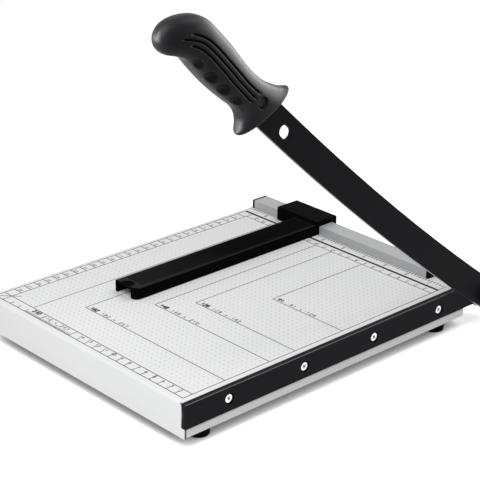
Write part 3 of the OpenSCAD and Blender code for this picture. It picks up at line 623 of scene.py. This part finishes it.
@dataclass
class BoardPrint:
    """Lines, scales and dots printed on the board.

    Places are counted from the cut towards the left and from the ruler's face to the front.
    Pairs named across, down and count are where a run starts and where it has ended, and
    pairs of lines are the inner and the outer one.
    """

    datum: Datum
    sheets: tuple[tuple[int, int], ...] = ((91, 128), (128, 182), (148, 210), (182, 257), (210, 297))
    zero: float = 2.0
    margin: float = 9.9
    rule: float = 11.3
    rear_line: float = 20.2
    front_lines: tuple[float, float] = (292.0, 301.4)
    left_lines: tuple[float, float] = (240.4, 250.6)
    corner_run: float = 6.0
    face_gap: float = 0.5
    scale_across: tuple[float, float] = (20.0, 240.0)
    scale_down: tuple[float, float] = (20.0, 290.0)
    long_pitch: float = 50.0
    front_tick: float = 4.5
    rear_tick: float = 2.4
    rear_long_tick: float = 4.0
    inch_parts: int = 8
    inch_count: tuple[int, int] = (4, 79)
    inch_gap: float = 0.2
    inch_ticks: tuple[float, float, float] = (3.2, 4.0, 5.0)
    fine_across: tuple[float, float] = (150.0, 210.0)
    fine_pitch: float = 2.0
    fine_tick: float = 2.6
    front_figures: FigureRow = FigureRow(1, 15, CM, 4.9, 2.9)
    inch_figures: FigureRow = FigureRow(1, 10, INCH, 3.4, 2.32)
    rear_figures: FigureRow = FigureRow(2, 24, CM, 2.6, 2.32)
    left_figures: FigureRow = FigureRow(3, 29, CM, 1.2, 2.465)
    line_w: float = 0.72
    rule_w: float = 2.6
    tick_w: float = 0.8
    figure_w: float = 0.64
    fine_w: float = 0.4
    label_in: tuple[float, float] = (4.0, 1.6)
    last_label_in: tuple[float, float] = (5.0, 4.6)
    label_h: float = 2.9
    label_advance: float = 8.0
    label_start: float = 14.28
    bold_h: float = 3.4
    bold_w: float = 1.35
    dots_across: tuple[float, float] = (15.0, 236.0)
    dots_down: tuple[float, float] = (27.0, 289.0)
    dot_pitch: float = 5.0
    dot_w: float = 0.62
    film: float = 0.03
    sunk: float = 0.03

    def strokes(self, marks: Sequence[tuple[float, float, float, float]]) -> np.ndarray:
        """Turns marks given from the cut and the ruler into strokes in x and y."""
        return np.asarray(marks, float).reshape(-1, 4) * -1.0

    def lines(self) -> np.ndarray:
        """Frame, scale borders, ticks and the outlines of the sheet sizes, as thin strokes."""
        front_in, front_out = self.front_lines
        left_in, left_out = self.left_lines
        marks = [
            (self.margin, self.face_gap, self.margin, front_out),
            (self.margin, front_in, left_out, front_in),
            (self.margin, front_out, left_out, front_out),
            (left_in, self.rule, left_in, front_out),
            (left_out, front_out, left_in - self.corner_run, front_in - self.corner_run),
            (left_out, self.rule, left_out, front_out),
            (self.margin, self.rear_line, left_in, self.rear_line),
        ]
        for wide, long in self.sheets:
            near = min(long + self.zero, front_in)
            marks.append((wide, self.rear_line, wide, near))
            marks.append((self.margin, near, wide, near))
        for place in np.arange(*self.scale_across, CM):
            front, rear = front_out - self.front_tick, self.rear_line - self.rear_tick
            if place % self.long_pitch == 0:
                front, rear = front_in, self.rear_line - self.rear_long_tick
            marks.append((place, front_out, place, front))
            marks.append((place, self.rear_line, place, rear))
        for place in np.arange(*self.scale_down, CM) + self.zero:
            marks.append((left_in, place, left_out, place))
        return self.strokes(marks)

    def ticks(self) -> np.ndarray:
        """Fine ticks: parts of the inch at the ruler's foot, and a row at the front line."""
        count = np.arange(*self.inch_count)
        place = count * INCH / self.inch_parts
        part, half, whole = self.inch_ticks
        reach = np.where(count % (self.inch_parts // 2) == 0, half, part)
        reach = np.where(count % self.inch_parts == 0, whole, reach)
        inches = np.stack([place, np.full(len(count), self.inch_gap), place, reach], axis=1)
        place = np.arange(*self.fine_across, self.fine_pitch)
        front = np.full(len(place), self.front_lines[1])
        row = np.stack([place, front, place, front - self.fine_tick], axis=1)
        return self.strokes(np.vstack([inches, row]))

    def across(self, row: FigureRow, line: float) -> list[np.ndarray]:
        """Figures of a scale across the board, set in front of or behind one of its lines."""
        return [write(text, -place, row.rise - line, row.height) for text, place in row.places()]

    def figures(self) -> np.ndarray:
        """Figures of the front and inch scales and the plain sizes at the sheets' front lines."""
        rows = self.across(self.front_figures, self.front_lines[1])
        rows += self.across(self.inch_figures, self.rule)
        for (x, y), (wide, long) in zip(self.label_places(), self.sheets):
            text, start = f"{wide} x {long}", x + self.label_start
            rows.append(write(text, start, y, self.label_h, False, self.label_advance))
        return np.vstack(rows)

    def fine_figures(self) -> np.ndarray:
        """Smaller figures of the scales along the ruler and the left side."""
        middle, row = -sum(self.left_lines) / 2, self.left_figures
        rows = self.across(self.rear_figures, self.rear_line)
        for text, place in row.places():
            rows.append(write(text, middle, row.rise - place - self.zero, row.height))
        return np.vstack(rows)

    def label_places(self) -> list[tuple[float, float]]:
        """Start of each sheet's label, inside the front left corner of its outline."""
        right, rise = self.label_in
        places = [(right - wide, rise - long - self.zero) for wide, long in self.sheets[:-1]]
        right, rise = self.last_label_in
        return places + [(right - self.sheets[-1][0], rise - self.front_lines[1])]

    def bold_figures(self) -> np.ndarray:
        """The width of each sheet, set bold at the start of its label."""
        places = zip(self.label_places(), self.sheets)
        return np.vstack([write(str(wide), x, y, self.bold_h, False) for (x, y), (wide, _) in places])

    def dots(self) -> np.ndarray:
        """A square grid of dots, each a stroke as long as it is wide."""
        across = np.arange(*self.dots_across, self.dot_pitch)
        down = np.arange(*self.dots_down, self.dot_pitch)
        u, v = (axis.ravel() for axis in np.meshgrid(across, down))
        return self.strokes(np.stack([u - self.dot_w / 2, v, u + self.dot_w / 2, v], axis=1))

    def build(self) -> None:
        """Builds the inks and lets them ride on the board."""
        rule = self.strokes([(self.margin, self.rule, self.left_lines[1], self.rule)])
        layers = (
            ("print_lines", self.lines(), self.line_w, PRINT_GREY),
            ("print_figures", self.figures(), self.figure_w, PRINT_BLACK),
            ("print_fine_figures", self.fine_figures(), self.fine_w, PRINT_GREY),
            ("print_labels", self.bold_figures(), self.bold_w, PRINT_BLACK),
            ("print_rule", rule, self.rule_w, PRINT_BLACK),
            ("print_ticks", self.ticks(), self.tick_w, PRINT_BLACK),
            ("print_dots", self.dots(), self.dot_w, PRINT_PALE),
        )
        for name, strokes, width, ink in layers:
            points, faces = prisms(strokes, width, -self.sunk, self.film)
            piece = mesh_object(name, self.datum.place(points), [faces], smooth=False)
            add_piece(piece, ink, "base")


@dataclass
class Base:
    """Tray, lower blade, ruler rail and feet, with the printing on the board."""

    datum: Datum
    chamfer: float = 0.4
    chamfer_slack: float = 0.05
    screw_head: float = 6.9
    screw_pitch: float = 81.0
    screw_fall: float = 0.6
    recess_r: float = 1.1
    # Radius of the painted shade round each screw's seat in the bar.
    sink_r: float = 4.6
    bar_h: float = 20.8
    seam_w: float = 0.9
    seam_in: float = 0.7
    seam_film: float = 0.04

    def build(self) -> None:
        """Builds what is printed on the board and the seam of the tray's front corner."""
        BoardPrint(self.datum).build()
        low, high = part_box("base_tray")
        film, near = self.seam_film * MM, low.y + self.seam_in * MM
        seam = np.array([[high.x, near, high.x, near + self.seam_w * MM]])
        points, faces = prisms(seam, 2 * film, low.z + film, self.datum.z - self.bar_h * MM)
        piece = mesh_object("corner_seam", points, [faces], smooth=False)
        add_piece(piece, PRINT_BLACK, "base")

    def dress(self) -> None:
        """Gives the base's solids their finishes."""
        limit = self.datum.x + self.datum.z - (self.chamfer + self.chamfer_slack) * MM
        low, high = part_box("lower_blade_screws")
        heads = ScrewRow(
            (0.0, low.y + self.screw_head / 2 * MM, high.z - self.screw_head / 2 * MM),
            self.screw_pitch * MM, -self.screw_fall / self.screw_pitch, self.recess_r * MM,
        )
        # Coated steel bar: satin black, its ground shear edge a bright line,
        # and painted shade in the seats round the screws.
        bar = SunkFinish(
            "black_coated_steel_bar", "#141417", "#19191d", 0.48, 0.03, specular=0.04, grain=0.5,
            relief=0.003, mottle=40, edge=BrightEdge.CHAMFER, limit=limit, bright="#626266",
            row=replace(heads, radius=self.sink_r * MM),
        )
        # Zinc plate again, with painted shade in the cross recess that makes it read as a hole.
        screws = RecessFinish(
            "bright_zinc_plate_grimed", "#eeeeef", "#d9dadc", 0.32, 0.08, 1.0, grain=0.5, relief=0.004,
            mottle=3, row=heads,
        )
        coat(TRAY_PAINT, "base_tray")
        coat(bar, "lower_blade")
        coat(screws, "lower_blade_screws")
        coat(ZINC_PLATE, "lower_blade_nuts", "ruler_screws", "foot_screws", "foot_nuts")
        coat(ANODISED_ALUMINIUM, "ruler_rail")
        coat(CAP_PLASTIC, "ruler_cap_left", "ruler_cap_right")
        coat(FOOT_RUBBER, "foot_front_left", "foot_front_right", "foot_rear_left", "foot_rear_right")


@dataclass
class PaperStop:
    """The sliding stop with its friction spring."""

    datum: Datum
    right: float = -163.5
    top: float = 11.1
    # Width of the painted highlight along the arm's upper edge.
    rubbed: float = 0.9
    flank: float = 0.15
    head_front: float = -6.0

    def dress(self) -> None:
        """Gives the stop's solids their finishes."""
        limit = self.datum.x + self.datum.z + (self.right + self.top - self.rubbed) * MM
        front, rear = (corner.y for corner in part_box("paper_stop"))
        # Moulded black plastic: near black and matt, with a painted grey highlight on its long upper
        # edge and on the rib crests towards the front.
        plastic = RibbedFinish(
            "moulded_black_abs", "#060606", "#09090a", 0.5, 0.06, specular=0.006, grain=0.5, relief=0.02,
            edge=BrightEdge.CHAMFER, limit=limit, bright="#272729", bright_roughness=0.5,
            before=self.datum.y + self.head_front * MM, bare=False,
            crest=self.datum.z + (self.top - self.flank) * MM,
            worn_from=front, worn_to=(front + rear) / 2,
        )
        coat(plastic, "paper_stop")
        coat(SPRING_STEEL, "stop_spring")
        coat(ZINC_PLATE, "stop_spring_screw")


@dataclass
class BladeArm:
    """The bowed arm with its moulded grip.

    The grip is lofted through stations: place and height of the top rail, place and height
    of the bottom rail and half thickness, as shares of the grip's sizes, then the squareness of
    the upper and of the lower half. A groove is a run of places along the grip and on its
    section, and groove_wall says where a step in depth starts across it and how wide the step
    is, in half widths; the pair after it says the same for a step in painted shade.
    """

    datum: Datum
    angle: float = 36.4
    pivot_y: float = 38.0
    pivot_drop: float = 13.5
    bow_r: float = 3100.0
    arm_w: float = 25.0
    arm_l: float = 345.0
    arm_mid: float = 1.6
    bevel: float = 0.4
    grip_l: float = 135.0
    grip_h: float = 52.0
    grip_w: float = 27.6
    steps: int = 16
    sides: int = 320
    outline_steps: int = 12800
    rim: float = 0.8
    rim_turns: tuple[float, ...] = (72.0, 50.0, 28.0)
    rim_shrunk: tuple[float, ...] = (0.3, 0.7)
    tip_rows: int = 20
    groove_w: float = 2.0
    groove_most: float = 0.09
    groove_d: float = 1.1
    groove_wall: tuple[float, float] = (1.15, 0.75)
    # Where a groove's painted shade starts across it and how wide its step is, in half widths.
    groove_matt: tuple[float, float] = (0.7, 0.3)
    groove_run: float = 0.024
    # Depth of cut at which a scoop's painted shade is full.
    sunk_d: float = 1.2
    screw_g: float = 27.5
    recess_r: float = 4.4
    recess_x: float = 8.4
    recess_edge: float = 0.5
    nut_half: float = 3.6
    scoop_r: float = 9.0
    scoop_at: tuple[float, float] = (14.8, -16.4)
    # Way a scoop's painted shade leans, towards its unlit side.
    scoop_matt: tuple[float, float] = (-0.6, 0.8)
    scoop_g: tuple[float, ...] = (47.8, 64.3, 80.8, 97.3)
    blend: float = 0.25
    stations: np.ndarray = field(default_factory=lambda: np.array([
        [0.034, 0.471, 0.155, -0.510, 0.76, 2.0, 2.0],
        [0.030, 0.492, 0.171, -0.502, 0.87, 2.0, 2.0],
        [0.072, 0.424, 0.189, -0.401, 0.91, 2.0, 2.2],
        [0.144, 0.350, 0.223, -0.303, 0.93, 2.1, 2.6],
        [0.235, 0.292, 0.277, -0.261, 0.93, 2.2, 3.0],
        [0.347, 0.281, 0.363, -0.276, 0.94, 2.2, 3.2],
        [0.460, 0.308, 0.472, -0.290, 0.97, 2.2, 3.2],
        [0.579, 0.344, 0.583, -0.287, 1.00, 2.2, 3.2],
        [0.697, 0.358, 0.686, -0.267, 1.00, 2.2, 3.2],
        [0.779, 0.358, 0.765, -0.256, 0.97, 2.2, 3.0],
        [0.851, 0.302, 0.830, -0.312, 0.93, 2.2, 2.7],
        [0.910, 0.203, 0.884, -0.380, 0.85, 2.2, 2.4],
        [0.962, 0.066, 0.931, -0.390, 0.70, 2.2, 2.3],
        [0.994, -0.069, 0.970, -0.345, 0.46, 2.1, 2.2],
        [0.999, -0.180, 0.989, -0.253, 0.17, 2.1, 2.1],
    ]))
    grooves: tuple[tuple[tuple[float, float], ...], ...] = (
        ((0.255, 0.185), (0.45, 0.229), (0.6, 0.21), (0.695, 0.21), (0.78, 0.152), (0.877, 0.175)),
        ((0.253, -0.15), (0.365, -0.07), (0.518, -0.031), (0.669, -0.037), (0.76, -0.075), (0.91, -0.11)),
        ((0.256, -0.42), (0.382, -0.342), (0.537, -0.289), (0.688, -0.286), (0.774, -0.352), (0.851, -0.337)),
    )

    def rows(self) -> np.ndarray:
        """Runs a smooth cubic through the stations.

        Between two stations each value follows the cubic whose slopes are half the
        difference of the neighbours.

        Returns:
            Array of shape (rows, 7).
        """
        last = len(self.stations) - 1
        way = np.linspace(0, last, last * self.steps + 1)
        index = np.minimum(way.astype(int), last - 1)
        u = (way - index)[:, None]
        a, b, c, d = (self.stations[np.clip(index + k, 0, last)] for k in (-1, 0, 1, 2))
        square, cube = 2 * a - 5 * b + 4 * c - d, 3 * b - a - 3 * c + d
        return b + ((c - a) * u + square * u ** 2 + cube * u ** 3) / 2

    def section(
        self, angle: np.ndarray, top_square: np.ndarray, low_square: np.ndarray
    ) -> tuple[np.ndarray, np.ndarray]:
        """Draws a rounded square of half size 1.

        Its height follows the cosine of the angle and its thickness the sine, both raised to
        two over the squareness of the upper or of the lower half.

        Args:
            angle: Angles round the section, 0 at the top.
            top_square: Squareness of the upper half.
            low_square: Squareness of the lower half.

        Returns:
            Height and thickness at the angles.
        """
        power = 2 / np.where(np.cos(angle) < 0, low_square, top_square)
        rise, side = (np.sign(wave) * np.abs(wave) ** power for wave in (np.cos(angle), np.sin(angle)))
        return rise, side

    def angles(self) -> np.ndarray:
        """Angles round a section that lie about evenly along its outline."""
        fine = np.linspace(0, 2 * np.pi, self.outline_steps + 1)
        rise, side = self.section(fine, *self.stations[:, 5:].max(axis=0))
        way = np.concatenate([[0], np.cumsum(np.hypot(np.diff(rise), np.diff(side)))])
        return np.interp(np.linspace(0, way[-1], self.sides, endpoint=False), way, fine)

    def loft(self) -> tuple[np.ndarray, np.ndarray, np.ndarray]:
        """Spans a section between the top rail and the bottom rail of each row.

        Returns:
            Points x, -g, h of shape (rows, sides, 3), and the depth and the shade of the grooves.
        """
        columns = self.rows().T[:, :, None]
        top_g, top_h, low_g, low_h, half, top_square, low_square = columns
        rise, side = self.section(self.angles()[None], top_square, low_square)
        g = ((top_g + low_g) / 2 + (top_g - low_g) / 2 * rise) * self.grip_l
        h = ((top_h + low_h) / 2 + (top_h - low_h) / 2 * rise) * self.grip_h
        width = np.minimum(self.groove_w / (self.grip_h * (top_h - low_h)), self.groove_most)
        depth, shade = self.groove_depth((top_g + low_g) / 2, rise, width)
        return np.stack([half * self.grip_w / 2 * side, -g, h], axis=2), depth, shade

    def groove_depth(
        self, place: np.ndarray, rise: np.ndarray, width: np.ndarray
    ) -> tuple[np.ndarray, np.ndarray]:
        """Depth and shade of the side grooves at places on the grip.

        Across a groove the depth is a smooth step from its rim to its floor, and it runs out
        over a short way at both ends. The floor and the upper wall get painted shade, and the lower
        wall none, so it stays as the outside.

        Args:
            place: Share of the grip's length, one a row.
            rise: Place on the section, 1 at the top rail and -1 at the bottom rail.
            width: Half width of a groove as a rise, one a row.

        Returns:
            Depth at each point, and how much painted shade it gets, 0 to 1.
        """
        depth, shade = np.zeros(rise.shape), np.zeros(rise.shape)
        (wall, wall_w), (matt, matt_w) = self.groove_wall, self.groove_matt
        for line in self.grooves:
            places, rises = np.array(line).T
            off = (rise - np.interp(place, places, rises)) / width
            step = np.clip((wall - np.abs(off)) / wall_w, 0, 1)
            run = np.minimum(place - places[0], places[-1] - place) / self.groove_run
            share = np.clip(run, 0, 1) * step * step * (3 - 2 * step)
            depth += self.groove_d * share
            shade += share * np.clip((off + matt) / matt_w, 0, 1)
        return depth, shade

    def carve(self, points: np.ndarray, grooves: np.ndarray, shade: np.ndarray) -> np.ndarray:
        """Cuts grooves, finger scoops and the recesses of screw and nut into the loft.

        Each cut lowers the thickness x on its side: grooves by their depth, scoops to a
        sphere with a soft edge, round and six-sided recesses to their floor over a narrow edge.
        A scoop gets painted shade towards one side, its unlit side, up and to the guard.

        Args:
            points: Points of the loft.
            grooves: Depth of the grooves at the points.
            shade: Painted shade of the grooves there.

        Returns:
            The carved points, and as a fourth value the painted shade of each, 0 to 1.
        """
        x, g, h = points[..., 0], -points[..., 1], points[..., 2]
        side, thick = np.sign(x), np.abs(x) - grooves
        # Painted shade of each point: the grooves', then each scoop's on its unlit side.
        sunk = shade
        for scoop_g in self.scoop_g:
            inside = self.scoop_r ** 2 - (g - scoop_g) ** 2 - (h - self.scoop_at[1]) ** 2
            floor = self.scoop_at[0] - np.sqrt(np.maximum(inside, 0))
            over = np.clip(0.5 + (thick - floor) / (2 * self.blend), 0, 1)
            cut = thick * (1 - over) + floor * over - self.blend * over * (1 - over)
            deep = np.where(inside > 0, np.maximum(thick - cut, 0), 0)
            toward = self.scoop_matt[0] * (g - scoop_g) + self.scoop_matt[1] * (h - self.scoop_at[1])
            lean = np.clip(toward / self.scoop_r, 0, 1)
            sunk = np.maximum(sunk, np.clip(deep / self.sunk_d, 0, 1) * lean)
            thick = thick - deep
        from_screw = np.hypot(g - self.screw_g, h)
        turns = np.arange(3)[:, None, None] * np.pi / 3
        flats = np.abs((g - self.screw_g) * np.sin(turns) + h * np.cos(turns)).max(axis=0)
        head, nut = (side > 0, self.recess_r - from_screw), (side < 0, self.nut_half - flats)
        for facing, reach in (head, nut):
            share = np.where(facing, np.clip(0.5 + reach / self.recess_edge, 0, 1), 0)
            thick = thick - share * np.maximum(thick - self.recess_x, 0)
        return np.stack([side * thick, -g, h, sunk], axis=2)

    def caps(self, rings: np.ndarray) -> np.ndarray:
        """Adds rings that round the guard's rim and the pommel's tip and close the ends.

        The guard's rim turns inwards on a quarter circle, then the ring shrinks to its
        middle. The last rows at the tip give way to a sphere that goes on from their slope.

        Args:
            rings: Carved points, shape (rows, sides, 4).

        Returns:
            Points with the closing rings, shape (more rows, sides, 4).
        """
        front, middle = rings[:1], rings[:1].mean(axis=1, keepdims=True)
        reach = front - middle
        size = np.linalg.norm(reach[..., :3], axis=2, keepdims=True)
        quarter = np.radians(self.rim_turns)[:, None, None]
        turned = middle + reach * (1 - self.rim * (1 - np.cos(quarter)) / size)
        turned = turned + np.array([0.0, 1.0, 0.0, 0.0]) * self.rim * np.sin(quarter)
        flat = turned[:1].mean(axis=1, keepdims=True)
        shrunk = flat + (turned[:1] - flat) * np.array(self.rim_shrunk)[:, None, None]
        body = rings[:-self.tip_rows]
        before, tip = body[-2:-1], body[-1:]
        before_middle, tip_middle = (ring.mean(axis=1, keepdims=True) for ring in (before, tip))
        onward = tip_middle - before_middle
        wider, narrower = (
            np.linalg.norm(spoke[..., :3], axis=2).mean()
            for spoke in (before - before_middle, tip - tip_middle)
        )
        polar = np.arctan2(np.linalg.norm(onward), wider - narrower)
        turn = np.linspace(polar, 0.0, self.tip_rows)[1:-1, None, None]
        closing = tip_middle + (tip - tip_middle) * np.sin(turn) / np.sin(polar)
        onward = onward / np.linalg.norm(onward) * narrower
        closing = closing + onward * (np.cos(turn) - np.cos(polar)) / np.sin(polar)
        return np.concatenate([shrunk, turned, body, closing])

    def build(self) -> None:
        """Builds the moulded grip in place of its plain solid."""
        rings = self.caps(self.carve(*self.loft()))
        rows, sides = rings.shape[:2]
        here = np.arange(rows * sides).reshape(rows, sides)
        beside = np.roll(here, -1, axis=1)
        quads = np.stack([here[:-1], here[1:], beside[1:], beside[:-1]], axis=2).reshape(-1, 4)
        first, last = (np.full(sides, rows * sides + end) for end in (0, 1))
        fans = np.concatenate([
            np.stack([first, here[0], beside[0]], axis=1),
            np.stack([last, beside[-1], here[-1]], axis=1),
        ])
        ends = np.stack([rings[0].mean(axis=0), rings[-1].mean(axis=0)])
        points = np.concatenate([rings.reshape(-1, 4), ends])
        placed = self.datum.place(self.on_grip(points[:, :3]))
        piece = mesh_object(GRIP_PIECE, placed, [quads, fans], smooth=True)
        # The fourth value goes on the mesh: the painted shade of the grooves and scoops.
        depth = piece.data.attributes.new(MouldedFinish.depth_name, "FLOAT", "POINT")
        depth.data.foreach_set("value", points[:, 3].copy())
        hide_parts("handle_grip")
        add_piece(piece, GRIP_PLASTIC, "arm")

    def on_grip(self, points: np.ndarray) -> np.ndarray:
        """Moves points from the grip to the datum, along the bow and up to the rest angle.

        Args:
            points: Array of shape (n, 3).

        Returns:
            The moved points.
        """
        tilt = np.degrees(self.arm_l / self.bow_r)
        end = self.bow_r * np.array([0, -np.sin(np.radians(tilt)), 1 - np.cos(np.radians(tilt))])
        on_arm = turn_x(points, -tilt) + end + np.array([self.arm_mid, 0, 0])
        return turn_x(on_arm, -self.angle) + np.array([0, self.pivot_y, -self.pivot_drop])

    def dress(self) -> None:
        """Gives the arm and its fasteners their finishes."""
        lean = np.radians(self.angle)
        centre = np.array([
            0.0, self.pivot_y + self.bow_r * np.sin(lean), self.bow_r * np.cos(lean) - self.pivot_drop,
        ])
        y, z = (self.datum.place(centre[None])[0, 1:]).tolist()
        # Coated steel arm: satin black, its ground bevel a narrow bright band.
        steel = EdgeFinish(
            "black_coated_steel_arm", "#121215", "#161619", 0.5, 0.02, specular=0.04, grain=0.5,
            relief=0.002, mottle=45, edge=BrightEdge.BOW, centre=(0.0, y, z),
            limit=(self.bow_r + self.arm_w / 2 - self.bevel) * MM, bright="#b8b8bc",
        )
        coat(steel, "blade_arm")
        coat(BLACK_OXIDE, "handle_screw")
        coat(ZINC_PLATE, "handle_nut")
        coat(SINTERED_BRONZE, "pivot_bush")


@dataclass
class Pivot:
    """Bolt, washers, disc springs and lock nut of the arm's hinge."""

    def dress(self) -> None:
        """Gives the pivot's solids their finishes."""
        coat(BLACK_OXIDE, "pivot_bolt", "pivot_washer_outer")
        coat(ZINC_PLATE, "pivot_washer_inner", "pivot_lock_nut")
        coat(SPRING_STEEL, "pivot_disc_springs")


# Studio


@dataclass(frozen=True)
class Softbox:
    """A lamp, placed by direction and distance from the middle of the board.

    Angles are degrees, distance and size metres and power watts. A glint is a strip set up
    for the moulded grip alone, to draw its highlights.
    """

    name: str
    azimuth: float
    elevation: float
    distance: float
    size: tuple[float, float]
    power: float
    glint: bool = False


@dataclass
class Studio:
    """Camera, lamps, surroundings and floor, whose half width and contact shade are metres."""

    datum: Datum
    azimuth: float = 47.258
    elevation: float = 23.018
    roll: float = 0.64
    distance: float = 1476.414
    target: tuple[float, float, float] = (-211.856, -74.627, 0.0)
    focal_px: float = 1609.858
    middle_px: tuple[float, float] = (224.45, 239.875)
    sensor: float = 36.0
    floor_half: float = 6.0
    floor_colour: str = "#f2f2f2"
    floor_lift: float = 0.55
    contact: float = 0.15
    contact_samples: int = 8
    contact_colour: str = "#202020"
    open_air: float = 0.5
    world_light: float = 0.42
    lamp_aim: tuple[float, float, float] = (-120.0, -150.0, 0.0)
    lamps: tuple[Softbox, ...] = (
        Softbox("key_softbox", 16.0, 56.0, 0.72, (0.4, 0.4), 2.8),
        Softbox("top_softbox", 155.0, 60.0, 1.1, (0.5, 0.5), 2.8),
        Softbox("fill_softbox", 8.0, 12.0, 1.1, (0.4, 0.4), 1.6),
        Softbox("rear_strip", 168.0, 17.0, 1.35, (1.5, 0.9), 31.0, glint=True),
        Softbox("front_strip", -36.0, 6.0, 1.1, (0.9, 0.8), 36.0, glint=True),
        Softbox("pommel_strip", -10.0, 14.0, 1.1, (0.4, 1.2), 80.0, glint=True),
    )

    def toward(self, azimuth: float, elevation: float) -> np.ndarray:
        """Unit vector towards a direction; azimuth 0 is in front and 90 at the cutting side."""
        a, e = np.radians(azimuth), np.radians(elevation)
        return np.array([np.sin(a) * np.cos(e), -np.cos(a) * np.cos(e), np.sin(e)])

    def facing(self, back: np.ndarray, roll: float, place: np.ndarray) -> Matrix:
        """Matrix of a camera or lamp that looks along minus back.

        Args:
            back: Unit vector from what is looked at.
            roll: Turn about that vector, in degrees.
            place: Where it stands, in metres.

        Returns:
            The matrix, with right, up and back as its axes.
        """
        right = np.cross(-back, [0.0, 0.0, 1.0])
        right /= np.linalg.norm(right)
        up = np.cross(right, -back)
        c, s = np.cos(np.radians(roll)), np.sin(np.radians(roll))
        axes = np.eye(4)
        axes[:3] = np.stack([c * right + s * up, c * up - s * right, back, place], axis=1)
        return Matrix(axes.tolist())

    def set_camera(self) -> None:
        """Stands the camera where the photograph's lines say it stood."""
        camera = bpy.data.cameras.new("camera")
        camera.sensor_fit = "HORIZONTAL"
        camera.sensor_width = self.sensor
        camera.lens = self.focal_px / PHOTO_PX * self.sensor
        camera.shift_x = 0.5 - self.middle_px[0] / PHOTO_PX
        camera.shift_y = self.middle_px[1] / PHOTO_PX - 0.5
        back = self.toward(self.azimuth, self.elevation)
        place = self.datum.place((np.array(self.target) + back * self.distance)[None])[0]
        holder = bpy.data.objects.new("camera", camera)
        holder.matrix_world = self.facing(back, self.roll, place)
        bpy.context.scene.collection.objects.link(holder)
        bpy.context.scene.camera = holder

    def set_lamps(self) -> None:
        """Hangs the soft lamps round the board."""
        aim = self.datum.place(np.array([self.lamp_aim]))[0]
        grip_only = bpy.data.collections.new("glint_receivers")
        grip_only.objects.link(bpy.data.objects[GRIP_PIECE])
        for box in self.lamps:
            light = bpy.data.lights.new(box.name, "AREA")
            light.shape = "RECTANGLE"
            light.size, light.size_y = box.size
            light.energy = box.power
            back = self.toward(box.azimuth, box.elevation)
            holder = bpy.data.objects.new(box.name, light)
            holder.matrix_world = self.facing(back, 0.0, aim + back * box.distance)
            if box.glint:
                holder.light_linking.receiver_collection = grip_only
            bpy.context.scene.collection.objects.link(holder)

    def seen_rays(self, tree: bpy.types.NodeTree) -> bpy.types.NodeSocket:
        """Tells rays that are looked along from those that only carry light.

        Args:
            tree: Node tree of the world or of a material.

        Returns:
            Socket that is 1 for rays from the camera, off a gloss or through glass, and else 0.
        """
        path = add(tree, "ShaderNodeLightPath").outputs
        shiny = add(
            tree, "ShaderNodeMath", {0: path["Is Glossy Ray"], 1: path["Is Transmission Ray"]},
            operation="MAXIMUM",
        ).outputs[0]
        return add(
            tree, "ShaderNodeMath", {0: path["Is Camera Ray"], 1: shiny}, operation="MAXIMUM"
        ).outputs[0]

    def set_world(self) -> None:
        """Surrounds the scene with even light that looks white."""
        world = bpy.data.worlds.new("surroundings")
        bpy.context.scene.world = world
        tree = empty_tree(world)
        white = linear("#ffffff")
        light = add(tree, "ShaderNodeBackground", {"Color": white, "Strength": self.world_light})
        seen = add(tree, "ShaderNodeBackground", {"Color": white, "Strength": 1.0})
        mixed = add(
            tree, "ShaderNodeMixShader",
            {0: self.seen_rays(tree), 1: light.outputs[0], 2: seen.outputs[0]},
        )
        add(tree, "ShaderNodeOutputWorld", {"Surface": mixed.outputs[0]})

    def lay_floor(self) -> None:
        """Lays a white floor with a soft painted shadow where the part stands close over it."""
        half = self.floor_half
        points = np.array([[-half, -half, 0], [half, -half, 0], [half, half, 0], [-half, half, 0]])
        floor = mesh_object("floor", points, [np.array([[0, 1, 2, 3]])], smooth=False)
        material = bpy.data.materials.new("white_paper_sweep")
        tree = empty_tree(material)
        near = add(
            tree, "ShaderNodeAmbientOcclusion", {"Distance": self.contact},
            samples=self.contact_samples,
        ).outputs["AO"]
        clear = add(
            tree, "ShaderNodeMapRange", {"Value": near, "From Min": 0.0, "From Max": self.open_air}
        ).outputs[0]
        tint = add(
            tree, "ShaderNodeMix",
            {0: clear, 6: linear(self.contact_colour), 7: linear(self.floor_colour)}, data_type="RGBA",
        )
        paper = add(tree, "ShaderNodeBsdfDiffuse", {"Color": tint.outputs[2]})
        lift = add(tree, "ShaderNodeMath", {0: self.seen_rays(tree), 1: clear}, operation="MULTIPLY")
        grey = (self.floor_lift, self.floor_lift, self.floor_lift, 1.0)
        glow = add(tree, "ShaderNodeEmission", {"Color": grey, "Strength": lift.outputs[0]})
        both = add(tree, "ShaderNodeAddShader", {0: paper.outputs[0], 1: glow.outputs[0]})
        add(tree, "ShaderNodeOutputMaterial", {"Surface": both.outputs[0]})
        floor.data.materials.append(material)

    def build(self) -> None:
        """Sets up camera, lamps, surroundings and floor."""
        bpy.context.scene.view_settings.view_transform = "Standard"
        self.set_camera()
        self.set_lamps()
        self.set_world()
        self.lay_floor()


def main() -> None:
    """Builds and dresses the sub-assemblies, then the studio."""
    logging.basicConfig(level=logging.INFO, format="%(message)s")
    datum = Datum.from_solids()
    base, arm = Base(datum), BladeArm(datum)
    base.build()
    arm.build()
    for assembly in (base, PaperStop(datum), arm, Pivot()):
        assembly.dress()
    Studio(datum).build()


if __name__ == "__main__":
    main()
